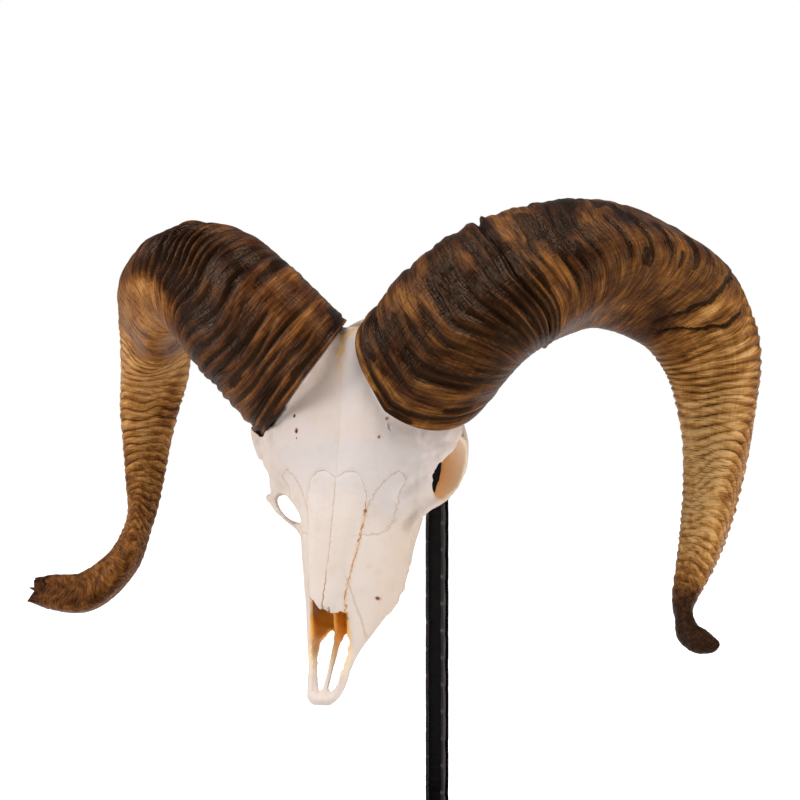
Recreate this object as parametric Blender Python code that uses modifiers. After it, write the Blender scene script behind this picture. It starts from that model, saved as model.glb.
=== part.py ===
"""Ram skull with its two horn sheaths on a forged steel stand, in metres, +Z up.

The origin is the centre of the base plate's underside. The skull faces -Y, its midline lies in X = 0,
and +X is the animal's left. The skull has a frame of its own: AHEAD runs down the nose, ABOVE is the
side of the forehead and nasals, and all skull points are written as (side, ahead, above) in millimetres
from the nasion.
"""

import math

import bmesh
import bpy
import numpy as np
from mathutils import Matrix, Vector

MM = 0.001

# Skull frame
NASION = Vector((0.0, -0.152, 0.311))
FACE_PITCH = math.radians(15.7)  # how far the nasal line leans forward from plumb
AHEAD = Vector((0.0, -math.sin(FACE_PITCH), -math.cos(FACE_PITCH)))
ABOVE = Vector((0.0, -math.cos(FACE_PITCH), math.sin(FACE_PITCH)))
SIDE = Vector((1.0, 0.0, 0.0))

# Skull mesh
VOXEL = 2.2 * MM
SMOOTH_TURNS = 4
SKULL_TRIANGLES = 4300
CORE_GAP = 1.2  # mm between a bony core and its sheath

# Horn mesh
HORN_FACING = math.radians(20)  # the sections' width is laid out across this heading
HORN_SIDES = 24
HORN_RINGS = 28
SHEATH_WALL = 6.0
CORE_REACH = 2.3  # stations that the hollow runs up the horn
EDGE_LIFT = 0.105  # how far the section's three corners stand out, as a share of its radius
CURVE_STEPS = 40  # samples of the horn's axis from one station to the next
DIRECTION_REACH = 12  # samples to each side that give the axis its direction
RIM_FADE = 2.0  # stations over which the rim's slip dies away
HOLLOW_RINGS = 9
HOLLOW_TAPER = 0.30  # how much the hollow draws in towards its end
CORE_TAPER = 0.31
CORE_ROOT = (22, -62, -34)
CORE_FOOT = 0.45  # the core's foot inside the skull, as a share of its width at the rim

# Stand
POST_SIZE = 15 * MM
POST_PLACE = Vector((0.0, 0.056, 0.0))
POST_SHOULDER_Z = 0.372
POST_EDGE = 1.2 * MM
BASE_SIDE = 0.270
BASE_THICK = 8 * MM
BASE_EDGE = 1.5 * MM
PEG_RADIUS = 5.0 * MM
STEEL_GAP = 0.3 * MM

# Teeth, front to back, each (length along the row, width), mm
TEETH = ((9, 7), (10, 9), (10.5, 10.5), (14, 12), (17, 13), (19, 12))
TOOTH_ROW_FRONT = (18.5, 80, -49)
TOOTH_ROW_BACK = (25.5, 0, -83)
TOOTH_OUT, TOOTH_IN = 5.0, 5.0
TOOTH_GAP = 0.4

# Horn stations: centre (side, back, height), half width across the heading, half depth,
# and the turn of the front edge in degrees from the outside of the curl
HORN_LEFT = (
    ((44, -110, 384), 49, 50, 126),
    ((79, -112, 421), 48.5, 47, 120),
    ((113, -98, 443), 46.5, 43, 115),
    ((148, -75, 454), 44.5, 40, 99),
    ((176, -50, 449), 42.5, 38, 78),
    ((203, -25, 430), 39.5, 35, 64),
    ((218, -5, 400), 34, 31, 55),
    ((223, 4, 370), 29.2, 27, 62),
    ((225, 4, 333), 24, 23, 74),
    ((222, -5, 292), 19, 19, 86),
    ((217, -22, 259), 14.6, 16, 80),
    ((210, -42, 230), 8.5, 12.5, 72),
    ((210.5, -53, 218), 5.8, 10, 70),
    ((215, -63, 208), 8.0, 9, 60),
    ((225, -72, 204.5), 8.4, 7, 50),
    ((237, -81, 203), 3.6, 4.0, 45),
)
HORN_RIGHT = (
    ((-42, -110, 378), 49, 50, 176),
    ((-83, -112, 418), 47.5, 47, 174),
    ((-114, -98, 440), 44, 43, 170),
    ((-150, -75, 448), 34.5, 40, 160),
    ((-183, -50, 440), 31, 38, 140),
    ((-205, -25, 424), 29.5, 34, 118),
    ((-217, -6, 405), 28.5, 30, 96),
    ((-223, 4, 382), 27.5, 26, 76),
    ((-226, 4, 355), 23, 22, 62),
    ((-226, 0, 325), 18.2, 18, 58),
    ((-220, -15, 294), 14.2, 15, 60),
    ((-213, -36, 268), 10.6, 12.5, 80),
    ((-216, -57, 238), 13.0, 10, 100),
    ((-236, -74, 217), 15.2, 8.5, 110),
    ((-258, -87, 217), 13.5, 7, 110),
    ((-270, -93, 219), 9.5, 4.5, 110),
)
# How far the base rim slips down the horn for each mm forwards, and for each mm outwards on the inside and
# on the outside of the curl: the two sheaths don't sit alike on their cores
RIM_LEFT = (0.56, 0.40, -0.03)
RIM_RIGHT = (0.26, -0.20, -0.14)


def skull_point(side, ahead, above):
    return NASION + (SIDE * side + AHEAD * ahead + ABOVE * above) * MM


def clean_scene():
    for thing in list(bpy.data.objects):
        bpy.data.objects.remove(thing, do_unlink=True)


def collection(name):
    made = bpy.data.collections.new(name)
    bpy.context.scene.collection.children.link(made)
    return made


def material(name, colour, roughness, metallic=0.0):
    made = bpy.data.materials.new(name)
    made.use_nodes = True
    shader = made.node_tree.nodes["Principled BSDF"]
    shader.inputs["Base Color"].default_value = (*colour, 1.0)
    shader.inputs["Roughness"].default_value = roughness
    shader.inputs["Metallic"].default_value = metallic
    made.diffuse_color = (*colour, 1.0)
    return made


def object_from(bm, name, where):
    mesh = bpy.data.meshes.new(name)
    bmesh.ops.recalc_face_normals(bm, faces=bm.faces)
    bm.to_mesh(mesh)
    bm.free()
    made = bpy.data.objects.new(name, mesh)
    where.objects.link(made)
    return made


def catmull(points, count):
    """A smooth run of count values through the stations, as Catmull-Rom pieces."""
    points = np.asarray(points, float)
    padded = np.vstack([2 * points[0] - points[1], points, 2 * points[-1] - points[-2]])
    places = np.linspace(0, len(points) - 1, count)
    first = np.minimum(places.astype(int), len(points) - 2)
    t = (places - first)[:, None]
    p0, p1, p2, p3 = (padded[first + k] for k in range(4))
    return 0.5 * (2 * p1 + (p2 - p0) * t + (2 * p0 - 5 * p1 + 4 * p2 - p3) * t**2
                  + (3 * p1 - p0 - 3 * p2 + p3) * t**3)


def loft(name, rings, where):
    """A closed skin over rings of equal length, with both ends capped."""
    bm = bmesh.new()
    rows = [[bm.verts.new(p) for p in ring] for ring in rings]
    for low, high in zip(rows, rows[1:]):
        for k in range(len(low)):
            n = (k + 1) % len(low)
            bm.faces.new((low[k], low[n], high[n], high[k]))
    caps = [bm.faces.new(rows[0]), bm.faces.new(rows[-1])]
    bmesh.ops.triangulate(bm, faces=caps)
    return object_from(bm, name, where)


def ball(name, centre, radii, where, turn=(0, 0, 0)):
    """An ellipsoid whose radii lie along side, ahead and above, turned about those axes."""
    bm = bmesh.new()
    bmesh.ops.create_uvsphere(bm, u_segments=32, v_segments=20, radius=1.0)
    axes = Matrix((SIDE, AHEAD, ABOVE)).transposed()
    spin = Matrix.Rotation(math.radians(turn[2]), 3, "Z") @ Matrix.Rotation(math.radians(turn[1]), 3, "Y") \
        @ Matrix.Rotation(math.radians(turn[0]), 3, "X")
    shape = axes @ spin @ Matrix.Diagonal([r * MM for r in radii])
    bmesh.ops.transform(bm, matrix=Matrix.Translation(skull_point(*centre)) @ shape.to_4x4(), verts=bm.verts)
    return object_from(bm, name, where)


def bar(name, stations, where, steps=24, sides=14):
    """A bent bar of oval section: each station is a centre and two radii, across and deep (mm)."""
    values = catmull([[*centre, wide, deep] for centre, wide, deep in stations], steps)
    centres = [skull_point(*row[:3]) for row in values]
    rings = []
    for k, centre in enumerate(centres):
        along = (centres[min(k + 1, steps - 1)] - centres[max(k - 1, 0)]).normalized()
        across = along.cross(ABOVE)
        if across.length < 0.2:
            across = along.cross(AHEAD)
        across.normalize()
        deep = across.cross(along)
        ring = []
        for s in range(sides):
            turn = 2 * math.pi * s / sides
            ring.append(centre + across * (math.cos(turn) * values[k][3] * MM)
                        + deep * (math.sin(turn) * values[k][4] * MM))
        rings.append(ring)
    return loft(name, rings, where)


def mirrored(thing, name, where):
    """A copy on the other side of the midline."""
    bm = bmesh.new()
    bm.from_mesh(thing.data)
    bmesh.ops.scale(bm, vec=(-1, 1, 1), verts=bm.verts)
    bmesh.ops.reverse_faces(bm, faces=bm.faces)
    return object_from(bm, name, where)


def apply_modifiers(thing):
    graph = bpy.context.evaluated_depsgraph_get()
    done = bpy.data.meshes.new_from_object(thing.evaluated_get(graph))
    thing.modifiers.clear()
    thing.data = done


def combine(body, tool, operation, solver="EXACT"):
    step = body.modifiers.new(operation.lower(), "BOOLEAN")
    step.operation = operation
    step.solver = solver
    step.object = tool
    apply_modifiers(body)
    bpy.data.objects.remove(tool, do_unlink=True)


def join(things, name, where):
    """All the meshes in one, still overlapping; the remesh makes them one skin."""
    bm = bmesh.new()
    for thing in things:
        bm.from_mesh(thing.data)
        bpy.data.objects.remove(thing, do_unlink=True)
    mesh = bpy.data.meshes.new(name)
    bm.to_mesh(mesh)
    bm.free()
    made = bpy.data.objects.new(name, mesh)
    where.objects.link(made)
    return made


def remesh(thing, voxel, turns):
    grid = thing.modifiers.new("grid", "REMESH")
    grid.mode = "VOXEL"
    grid.voxel_size = voxel
    if turns:
        soften = thing.modifiers.new("soften", "SMOOTH")
        soften.factor = 0.5
        soften.iterations = turns
    apply_modifiers(thing)


# Horns

def horn_section(front_edge):
    """A rounded three-sided outline, its sharpest corner turned to front_edge, filling a unit square."""
    turns = np.linspace(0, 2 * np.pi, HORN_SIDES, endpoint=False)
    away = (turns - front_edge + np.pi) % (2 * np.pi) - np.pi
    radius = 1 + EDGE_LIFT * np.cos(3 * away) + 0.5 * EDGE_LIFT * np.exp(-(away / 0.4) ** 2)
    x, y = radius * np.cos(turns), radius * np.sin(turns)
    fit = [2 * (v - (v.max() + v.min()) / 2) / (v.max() - v.min()) for v in (x, y)]
    return np.stack(fit, 1)


def horn_rings(stations, first, last, count, swell, base_gap=0.0):
    """Rings from station first to last; swell adds to the half width and depth, mm."""
    whole = catmull([[*c, w, d, math.radians(e)] for c, w, d, e in stations],
                    CURVE_STEPS * (len(stations) - 1) + 1)
    scale = (len(whole) - 1) / (len(stations) - 1)
    side = 1 if stations[0][0][0] > 0 else -1
    facing = Vector((-math.sin(HORN_FACING), math.cos(HORN_FACING), 0))
    rings = []
    for place in np.linspace(first, last, count):
        k = int(round(place * scale))
        row = whole[k]
        before, after = whole[max(k - DIRECTION_REACH, 0)], whole[min(k + DIRECTION_REACH, len(whole) - 1)]
        along = Vector(after[:3] - before[:3]).normalized()
        outer = along.cross(facing).normalized() * side
        near = (along * facing.dot(along) - facing).normalized()
        shape = horn_section(row[5])
        fade = max(0.0, 1.0 - place / RIM_FADE)
        forward, inside, outside = RIM_LEFT if side > 0 else RIM_RIGHT
        ring = []
        for x, y in shape:
            offset = outer * (x * (row[3] + swell)) + near * (y * (row[4] + swell))
            lean = (outside if x > 0 else inside) * x * row[3]
            slip = fade * (forward * y * row[4] + lean) + base_gap
            ring.append((Vector(row[:3]) + offset - along * slip) * MM)
        rings.append(ring)
    return rings


def horn_sheath(name, stations, where, gap=0.0):
    """The sheath: outside skin from the tip to the base rim, then the hollow for the core."""
    last = len(stations) - 1
    outside = horn_rings(stations, 0, last, HORN_RINGS, gap, gap)
    inside = horn_rings(stations, 0, CORE_REACH, HOLLOW_RINGS, -SHEATH_WALL - gap, gap)
    for k, ring in enumerate(inside):
        shrink = 1 - HOLLOW_TAPER * (k / (len(inside) - 1)) ** 1.5
        middle = sum(ring, Vector()) / len(ring)
        inside[k] = [middle + (p - middle) * shrink for p in ring]
    return loft(name, outside[::-1] + inside, where)


def horn_core(name, stations, where):
    """The bony core, a little over the hollow's size so that the sheath's gap trims it."""
    rings = horn_rings(stations, 0, CORE_REACH - 0.05, HOLLOW_RINGS, -SHEATH_WALL + 0.5, 0)
    for k, ring in enumerate(rings):
        shrink = 1 - CORE_TAPER * (k / (len(rings) - 1)) ** 1.5
        middle = sum(ring, Vector()) / len(ring)
        rings[k] = [middle + (p - middle) * shrink for p in ring]
    side, ahead, above = CORE_ROOT
    root = skull_point(math.copysign(side, stations[0][0][0]), ahead, above)
    foot = [root + (p - root) * CORE_FOOT for p in rings[0]]
    return loft(name, [foot] + rings, where)


# Skull

FACE_STATIONS = (
    # ahead, then the half outline (side, above) from the dorsal midline round to the palate
    (146, (0, -13.5), (2.5, -13.5), (4.5, -14), (6, -14.5), (6.3, -15.5), (5.5, -16.5), (3.5, -17), (0, -17)),
    (141.5, (0, -12.5), (4.5, -12.5), (8, -13.3), (10, -15), (11, -16.5), (10.5, -18), (8, -19), (0, -18)),
    (134, (0, -13), (5, -13.3), (8.5, -14.5), (11, -16.5), (12.8, -19.5), (13, -21.5), (10.5, -23), (0, -21)),
    (120, (0, -15), (5.5, -15.5), (9.5, -17), (12.5, -19.5), (15, -23), (14.5, -26), (12, -28), (0, -26.5)),
    (108, (0, -12), (6, -12.5), (10.5, -15), (14.5, -19), (18.5, -26), (17.5, -30), (14.5, -33), (0, -31)),
    (96, (0, -6), (7, -7), (12, -12), (17, -20), (21.5, -30), (21.5, -37), (18.5, -42), (0, -37)),
    (84, (0, -0.5), (7, -2), (12.5, -8), (18, -18), (25, -33), (26, -43), (22, -51), (0, -43)),
    (70, (0, 0), (9, -1.5), (16, -8), (22, -20), (29.5, -38), (31.5, -50), (27, -60), (0, -50)),
    (50, (0, 1), (10.5, -0.5), (18, -7), (26, -21), (35, -41), (36, -56), (29, -68), (0, -58)),
    (30, (0, 1.5), (11.5, 0.5), (20, -6), (29, -19), (38.5, -40), (37, -56), (30, -74), (0, -65)),
    (19, (0, 1), (12, 0), (21.5, -6), (34, -16), (46, -29), (41, -54), (31, -79), (0, -67)),
    (7, (0, 0.5), (13, -0.5), (25, -5.5), (41, -15), (58, -31), (44, -54), (32, -82), (0, -70)),
    (-8, (0, 0), (14, 0.5), (28, -3), (46, -11), (61, -23), (46, -52), (34, -84), (0, -72)),
    (-26, (0, 1.5), (17, 2.5), (35, 0), (58, -9), (73, -23), (48, -42), (28, -72), (0, -76)),
    (-44, (0, 3), (20, 4), (42, 1), (64, -11), (75, -26), (42, -46), (28, -72), (0, -80)),
    (-64, (0, 4), (20, 4), (40, -2), (54, -16), (58, -32), (40, -52), (30, -74), (0, -84)),
    (-84, (0, 3), (16, 1), (34, -8), (46, -24), (46, -40), (40, -56), (30, -76), (0, -88)),
    (-100, (0, -2), (14, -4), (27, -14), (36, -30), (38, -44), (36, -58), (28, -76), (0, -88)),
    (-112, (0, -22), (12, -23), (22, -29), (29, -40), (32, -50), (30, -62), (24, -74), (0, -82)),
)


FACE_RINGS = 48
FACE_SIDES = 56


def face_body(where):
    rows = catmull([[station[0]] + [v for point in station[1:] for v in point] for station in FACE_STATIONS],
                   FACE_RINGS)
    rings = []
    for row in rows:
        half = np.array(row[1:]).reshape(-1, 2)
        other = half[-2:0:-1] * (-1, 1)
        closed = np.vstack([half, other])
        closed = catmull(np.vstack([closed, closed[:1]]), FACE_SIDES + 1)[:-1]
        rings.append([skull_point(side, row[0], above) for side, above in closed])
    return loft("face_body", rings, where)


def both_sides(made, where):
    """The part and its mirror image."""
    return [made, mirrored(made, made.name + "_other", where)]


def skull_forms(where):
    forms = [face_body(where)]
    forms.append(ball("braincase", (0, -84, -52), (38, 33, 42), where))
    forms.append(ball("occiput", (0, -100, -72), (37, 22, 26), where, (25, 0, 0)))
    forms.append(bar("nuchal_crest", [((-33, -104, -66), 3, 3), ((-24, -116, -50), 3.5, 4),
                                      ((0, -121, -42), 4, 6), ((24, -116, -50), 3.5, 4),
                                      ((33, -104, -66), 3, 3)], where))
    forms.append(bar("skull_base", [((0, -20, -84), 8, 6), ((0, -60, -94), 10, 7), ((0, -88, -102), 14, 9),
                                    ((0, -104, -104), 13, 8)], where))
    # One side of each paired form
    forms += both_sides(ball("condyle", (13.5, -110, -97), (8.5, 12, 11), where, (30, 0, 0)), where)
    forms += both_sides(ball("ear_bulb", (24, -82, -96), (8, 13, 10), where, (15, 0, 0)), where)
    forms += both_sides(bar("jugular_process", [((33, -98, -84), 6, 8), ((35, -97, -104), 3.5, 6),
                                                ((33, -92, -122), 1.8, 3)], where), where)
    forms += both_sides(orbit_tube(where), where)
    forms += both_sides(bar("cheek_rim", [((38, 32, -48), 2.2, 3), ((42, 25.5, -39), 2.2, 2.6),
                                          ((46, 22, -30), 2.2, 2.6), ((54, 14.5, -28), 2.2, 2.6),
                                          ((62.5, 6.5, -34), 2.4, 3), ((67, -3, -43), 2.4, 3.4),
                                          ((67, -12, -51), 2.6, 4), ((68, -24, -56), 2.8, 5),
                                          ((67, -38, -59), 2.8, 5), ((62, -54, -62), 2.4, 4),
                                          ((52, -69, -66), 3, 4), ((40, -80, -68), 5, 5)], where, 56), where)
    forms += both_sides(bar("pterygoid", [((13, -6, -84), 2, 8), ((12, -26, -90), 1.8, 9),
                                          ((12, -44, -98), 1.6, 7), ((13, -60, -96), 2, 5)], where), where)
    return forms


# The orbit's ring of bone: its half lengths, its wall, and how it leans and looks forward
ORBIT_CENTRE = (65, -15, -37)
ORBIT_LONG, ORBIT_TALL = 25.0, 19.5
ORBIT_TURN = math.radians(19)  # the opening looks this far forward of sideways
ORBIT_LEAN = math.radians(15)  # its lower edge stands out past its upper one
ORBIT_WALL = 3.2
ORBIT_NARROWS = 0.84
ORBIT_DEEP, ORBIT_BACK_DEEPER, ORBIT_LOW_DEEPER = 12.0, 5.0, 7.0


def orbit_tube(where):
    """The short funnel of bone round the eye, deepest below and behind it."""
    level = Vector((math.cos(ORBIT_TURN), math.sin(ORBIT_TURN), 0))
    front = Vector((-level.y, level.x, 0))
    out = level * math.cos(ORBIT_LEAN) + Vector((0, 0, math.sin(ORBIT_LEAN)))
    top = Vector((0, 0, math.cos(ORBIT_LEAN))) - level * math.sin(ORBIT_LEAN)
    rings = []
    for turn in np.linspace(0, 2 * math.pi, 32, endpoint=False):
        reach = front * (ORBIT_LONG * math.cos(turn)) + top * (ORBIT_TALL * math.sin(turn))
        deep = ORBIT_DEEP - ORBIT_BACK_DEEPER * math.cos(turn) - ORBIT_LOW_DEEPER * math.sin(turn)
        wall = reach.normalized() * ORBIT_WALL
        rim, inner = Vector(ORBIT_CENTRE) + reach, Vector(ORBIT_CENTRE) - out * deep + reach * ORBIT_NARROWS
        rings.append([skull_point(*p) for p in (rim, rim - wall, inner - wall / 2, inner + wall / 2)])
    bm = bmesh.new()
    rows = [[bm.verts.new(p) for p in ring] for ring in rings]
    for k, row in enumerate(rows):
        after = rows[(k + 1) % len(rows)]
        for n in range(4):
            bm.faces.new((row[n], row[(n + 1) % 4], after[(n + 1) % 4], after[n]))
    return object_from(bm, "orbit_tube", where)


# The plate before the right eye is broken through and leaves a thin arch: the hole's middle, its half
# length and width, the turn of its long side, and how far it slants for each mm of depth
BREAK_CENTRE = (-44, 15.8, -30)
BREAK_LONG, BREAK_WIDE = 13.5, 4.9
BREAK_TURN = math.radians(41)
BREAK_SLANT = (0.35, 0.23)
BREAK_DEPTHS = (8, -90)


def broken_plate(where):
    along = Vector((math.cos(BREAK_TURN), math.sin(BREAK_TURN), 0))
    across = Vector((-along.y, along.x, 0))
    rings = []
    for above in BREAK_DEPTHS:
        shift = above - BREAK_CENTRE[2]
        centre = Vector(BREAK_CENTRE) + Vector((BREAK_SLANT[0] * shift, BREAK_SLANT[1] * shift, shift))
        turns = np.linspace(0, 2 * math.pi, 24, endpoint=False)
        ring = [centre + along * BREAK_LONG * math.cos(t) + across * BREAK_WIDE * math.sin(t) for t in turns]
        rings.append([skull_point(*point) for point in ring])
    return loft("broken_plate", rings, where)


PASSAGE = (
    # under the nasals, ahead then (side, above) round one half, from the vomer's top
    (92, (8.5, -5), (11.5, -14), (16, -30), (17, -36), -38),
    (60, (10.5, -7), (17, -20), (26, -38), (26, -45), -47),
    (30, (13, -9), (23, -22), (29, -38), (25, -49), -51),
    (2, (9, -15), (17, -24), (19, -36), (13, -45), -47),
)
MUZZLE = (
    # open above, ahead then the side walls' edge and their inside down to the floor (side, above)
    (88, (27, -15), (10.5, -10), (16, -30), (17, -36), -38),
    (93, (27, -21), (11, -14), (15.8, -30), (16.5, -35), -36.5),
    (99, (27, -24), (11.5, -16.5), (15.3, -29), (15.5, -32), -34.5),
    (108, (25, -26), (11.5, -19), (15.5, -25.5), (14.5, -28.5), -29.5),
    (120, (22, -24), (9.5, -19), (12, -22.5), (11.5, -24.5), -25.2),
    (132, (20, -20), (7.5, -16), (9, -19), (9, -20.5), -21),
    (140, (18, -16), (5, -13), (6, -14), (6, -15), -15.5),
)
VOMER_TOP = ((70, -14), (84, -19), (98, -27), (112, -27.5), (126, -22), (140, -15.5))
PALATE_SLOT = ((95, 5, 8), (103, 2.6, 12.5), (114, 2.6, 11.5), (126, 2.4, 8.5), (137, 2.4, 4.2))
VOMER_HALF = 1.3
NASAL_TIP_BACK = 11  # the nasals' outer corners lie this far behind their tips
CLEAR_ABOVE = 14


def nose_tools(where):
    """The passage either side of the vomer, the open muzzle ahead of the nasals, and the palate's slots."""
    passage, muzzle, crest, slot = [], [], [], []
    for ahead, *sides, floor in PASSAGE:
        top = sides[0][1] + 0.5
        outline = [(VOMER_HALF, top), *sides, (VOMER_HALF, floor)]
        passage.append([skull_point(side, ahead, above) for side, above in outline])
    for ahead, *sides, floor in MUZZLE:
        lid = [(side, CLEAR_ABOVE) for side in (VOMER_HALF, 12, 27)]
        outline = [*lid, *sides, (VOMER_HALF, floor)]
        back = [0, 0.7, 1, 1, 1, 0, 0, 0] if ahead == MUZZLE[0][0] else [0] * 8
        muzzle.append([skull_point(side, ahead - NASAL_TIP_BACK * b, above)
                       for (side, above), b in zip(outline, back)])
    for ahead, top in VOMER_TOP:
        high = CLEAR_ABOVE - 2 if ahead > MUZZLE[1][0] else -6
        crest.append([skull_point(side, ahead, above)
                      for side, above in ((-3, top), (3, top), (3, high), (-3, high))])
    for ahead, near, far in PALATE_SLOT:
        slot.append([skull_point(side, ahead, above)
                     for side, above in ((near, -60), (far, -60), (far, -16), (near, -16))])
    tools = [loft("vomer_crest", crest, where)]
    for name, rings in (("passage", passage), ("muzzle", muzzle), ("palate_slot", slot)):
        tools += both_sides(loft(name, rings, where), where)
    return tools


def cut_hollows(skull, where):
    tools = []
    tools += both_sides(ball("orbit_hollow", (66, -15, -37), (38, 21.5, 16.5), where, (0, -15, 19)), where)
    tools.append(broken_plate(where))
    tools += both_sides(ball("temple_hollow", (62, -70, -46), (24, 19, 28), where), where)
    tools += nose_tools(where)
    tools.append(ball("foramen", (0, -112, -88), (11, 32, 10), where, (40, 0, 0)))
    tools += both_sides(ball("brow_hole", (33, -33, 2), (1.8, 2.4, 7), where), where)
    tools += both_sides(ball("cheek_hole", (34, 67, -36), (5, 1.6, 3.2), where, (0, 0, 20)), where)
    tools.append(ball("throat", (0, -24, -88), (9, 26, 9), where, (14, 0, 0)))
    for tool in tools:
        # The cutters in the nose share faces with each other, on which the exact solver fails
        combine(skull, tool, "DIFFERENCE", "MANIFOLD")


def tooth_frame():
    """The front of the tooth row, its run along the jaw and its way out of the gum line."""
    front, back = skull_point(*TOOTH_ROW_FRONT), skull_point(*TOOTH_ROW_BACK)
    along = (back - front).normalized()
    down = along.cross(SIDE).normalized()
    if down.dot(ABOVE) > 0:
        down.negate()
    return front, along, down


def tooth_start(k):
    return sum(length for length, _ in TEETH[:k]) + k * TOOTH_GAP


def tooth_box(name, k, side, where):
    """The k-th cheek tooth from the front, its crown out of the gum line and its root in the jaw."""
    front, along, down = tooth_frame()
    length, width = TEETH[k]
    middle = front + along * ((tooth_start(k) + length / 2) * MM) + down * ((TOOTH_OUT - TOOTH_IN) / 2 * MM)
    bm = bmesh.new()
    bmesh.ops.create_cube(bm, size=1.0)
    size = Matrix.Diagonal([width * MM, length * MM, (TOOTH_OUT + TOOTH_IN) * MM])
    shape = Matrix((SIDE, along, down)).transposed() @ size
    bmesh.ops.transform(bm, matrix=Matrix.Translation(middle) @ shape.to_4x4(), verts=bm.verts)
    if side < 0:
        bmesh.ops.scale(bm, vec=(-1, 1, 1), verts=bm.verts)
    return object_from(bm, name, where)


def tooth_trough(name, side, where):
    """The room for one row of teeth: a slot that widens with them, with a gap all round."""
    front, along, down = tooth_frame()
    rings = []
    for k, (length, width) in enumerate(TEETH):
        start = tooth_start(k) - TOOTH_GAP / 4
        if k == 0:
            start -= TOOTH_GAP
        end = tooth_start(k) + length + (TOOTH_GAP / 4 if k < len(TEETH) - 1 else TOOTH_GAP)
        reach = width / 2 + TOOTH_GAP
        for place in (start, end):
            centre = front + along * (place * MM)
            rings.append([centre + (SIDE * x * reach + down * y) * MM
                          for x, y in ((-1, -TOOTH_IN - TOOTH_GAP), (1, -TOOTH_IN - TOOTH_GAP),
                                       (1, TOOTH_OUT * 2), (-1, TOOTH_OUT * 2))])
    rings = rings if side > 0 else [[Vector((-p.x, p.y, p.z)) for p in ring] for ring in rings]
    return loft(name, rings, where)


def shrink_to(thing, triangles):
    """Fewer faces for the same shape."""
    bm = bmesh.new()
    bm.from_mesh(thing.data)
    bmesh.ops.triangulate(bm, faces=bm.faces)
    bm.to_mesh(thing.data)
    bm.free()
    fewer = thing.modifiers.new("fewer", "DECIMATE")
    fewer.ratio = min(1.0, triangles / len(thing.data.polygons))
    apply_modifiers(thing)


def keep_largest(thing):
    """Drops crumbs that the cuts leave."""
    bm = bmesh.new()
    bm.from_mesh(thing.data)
    left = set(bm.verts)
    groups = []
    while left:
        group, edge = set(), [left.pop()]
        while edge:
            vert = edge.pop()
            group.add(vert)
            for link in vert.link_edges:
                other = link.other_vert(vert)
                if other in left:
                    left.remove(other)
                    edge.append(other)
        groups.append(group)
    groups.sort(key=len, reverse=True)
    for group in groups[1:]:
        bmesh.ops.delete(bm, geom=list(group), context="VERTS")
    bm.to_mesh(thing.data)
    bm.free()


def make_skull(where, cutters, finish):
    cores = [horn_core("core", stations, where) for stations in (HORN_LEFT, HORN_RIGHT)]
    skull = join(skull_forms(where) + cores, "skull", where)
    remesh(skull, VOXEL, SMOOTH_TURNS)
    cut_hollows(skull, cutters)
    remesh(skull, VOXEL * 0.8, 1)
    shrink_to(skull, SKULL_TRIANGLES)
    for name, stations in (("left", HORN_LEFT), ("right", HORN_RIGHT)):
        combine(skull, horn_sheath("sheath_room_" + name, stations, cutters, CORE_GAP), "DIFFERENCE")
    for side in (-1, 1):
        combine(skull, tooth_trough("trough", side, cutters), "DIFFERENCE")
    keep_largest(skull)
    skull.data.materials.clear()
    skull.data.materials.append(finish)
    skull.data.shade_smooth()
    return skull


def make_post(where, finish):
    """The square bar, its shoulder bent forward and drawn down to the peg in the braincase."""
    half = POST_SIZE / 2
    peg_tip = skull_point(0, -92, -72)
    peg_mouth = skull_point(0, -118, -93)
    rise = Vector((POST_PLACE.x, POST_PLACE.y, POST_SHOULDER_Z))
    foot = Vector((POST_PLACE.x, POST_PLACE.y, BASE_THICK + STEEL_GAP))
    bend = [rise, rise + Vector((0, -0.002, 0.018)), rise + Vector((0, -0.014, 0.030))]
    route = [foot, *bend, peg_mouth + (peg_mouth - peg_tip) * 0.9, peg_mouth, peg_tip]
    reach = [half, half, half, half * 0.95, PEG_RADIUS * 1.1, PEG_RADIUS, PEG_RADIUS * 0.8]
    rings = []
    for k, point in enumerate(route):
        along = (route[min(k + 1, len(route) - 1)] - route[max(k - 1, 0)]).normalized()
        deep = SIDE.cross(along).normalized()
        r = reach[k]
        rings.append([point + SIDE * x * r + deep * y * r for x, y in ((-1, -1), (1, -1), (1, 1), (-1, 1))])
    post = loft("stand_post", rings, where)
    edge = post.modifiers.new("edge", "BEVEL")
    edge.width = POST_EDGE
    edge.segments = 2
    edge.limit_method = "ANGLE"
    edge.angle_limit = math.radians(50)
    post.data.materials.append(finish)
    return post


def make_base(where, finish):
    bm = bmesh.new()
    bmesh.ops.create_cube(bm, size=1.0)
    bmesh.ops.scale(bm, vec=(BASE_SIDE, BASE_SIDE, BASE_THICK), verts=bm.verts)
    bmesh.ops.translate(bm, vec=(0, 0, BASE_THICK / 2), verts=bm.verts)
    base = object_from(bm, "stand_base", where)
    edge = base.modifiers.new("edge", "BEVEL")
    edge.width = BASE_EDGE
    edge.segments = 2
    base.data.materials.append(finish)
    return base


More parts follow.
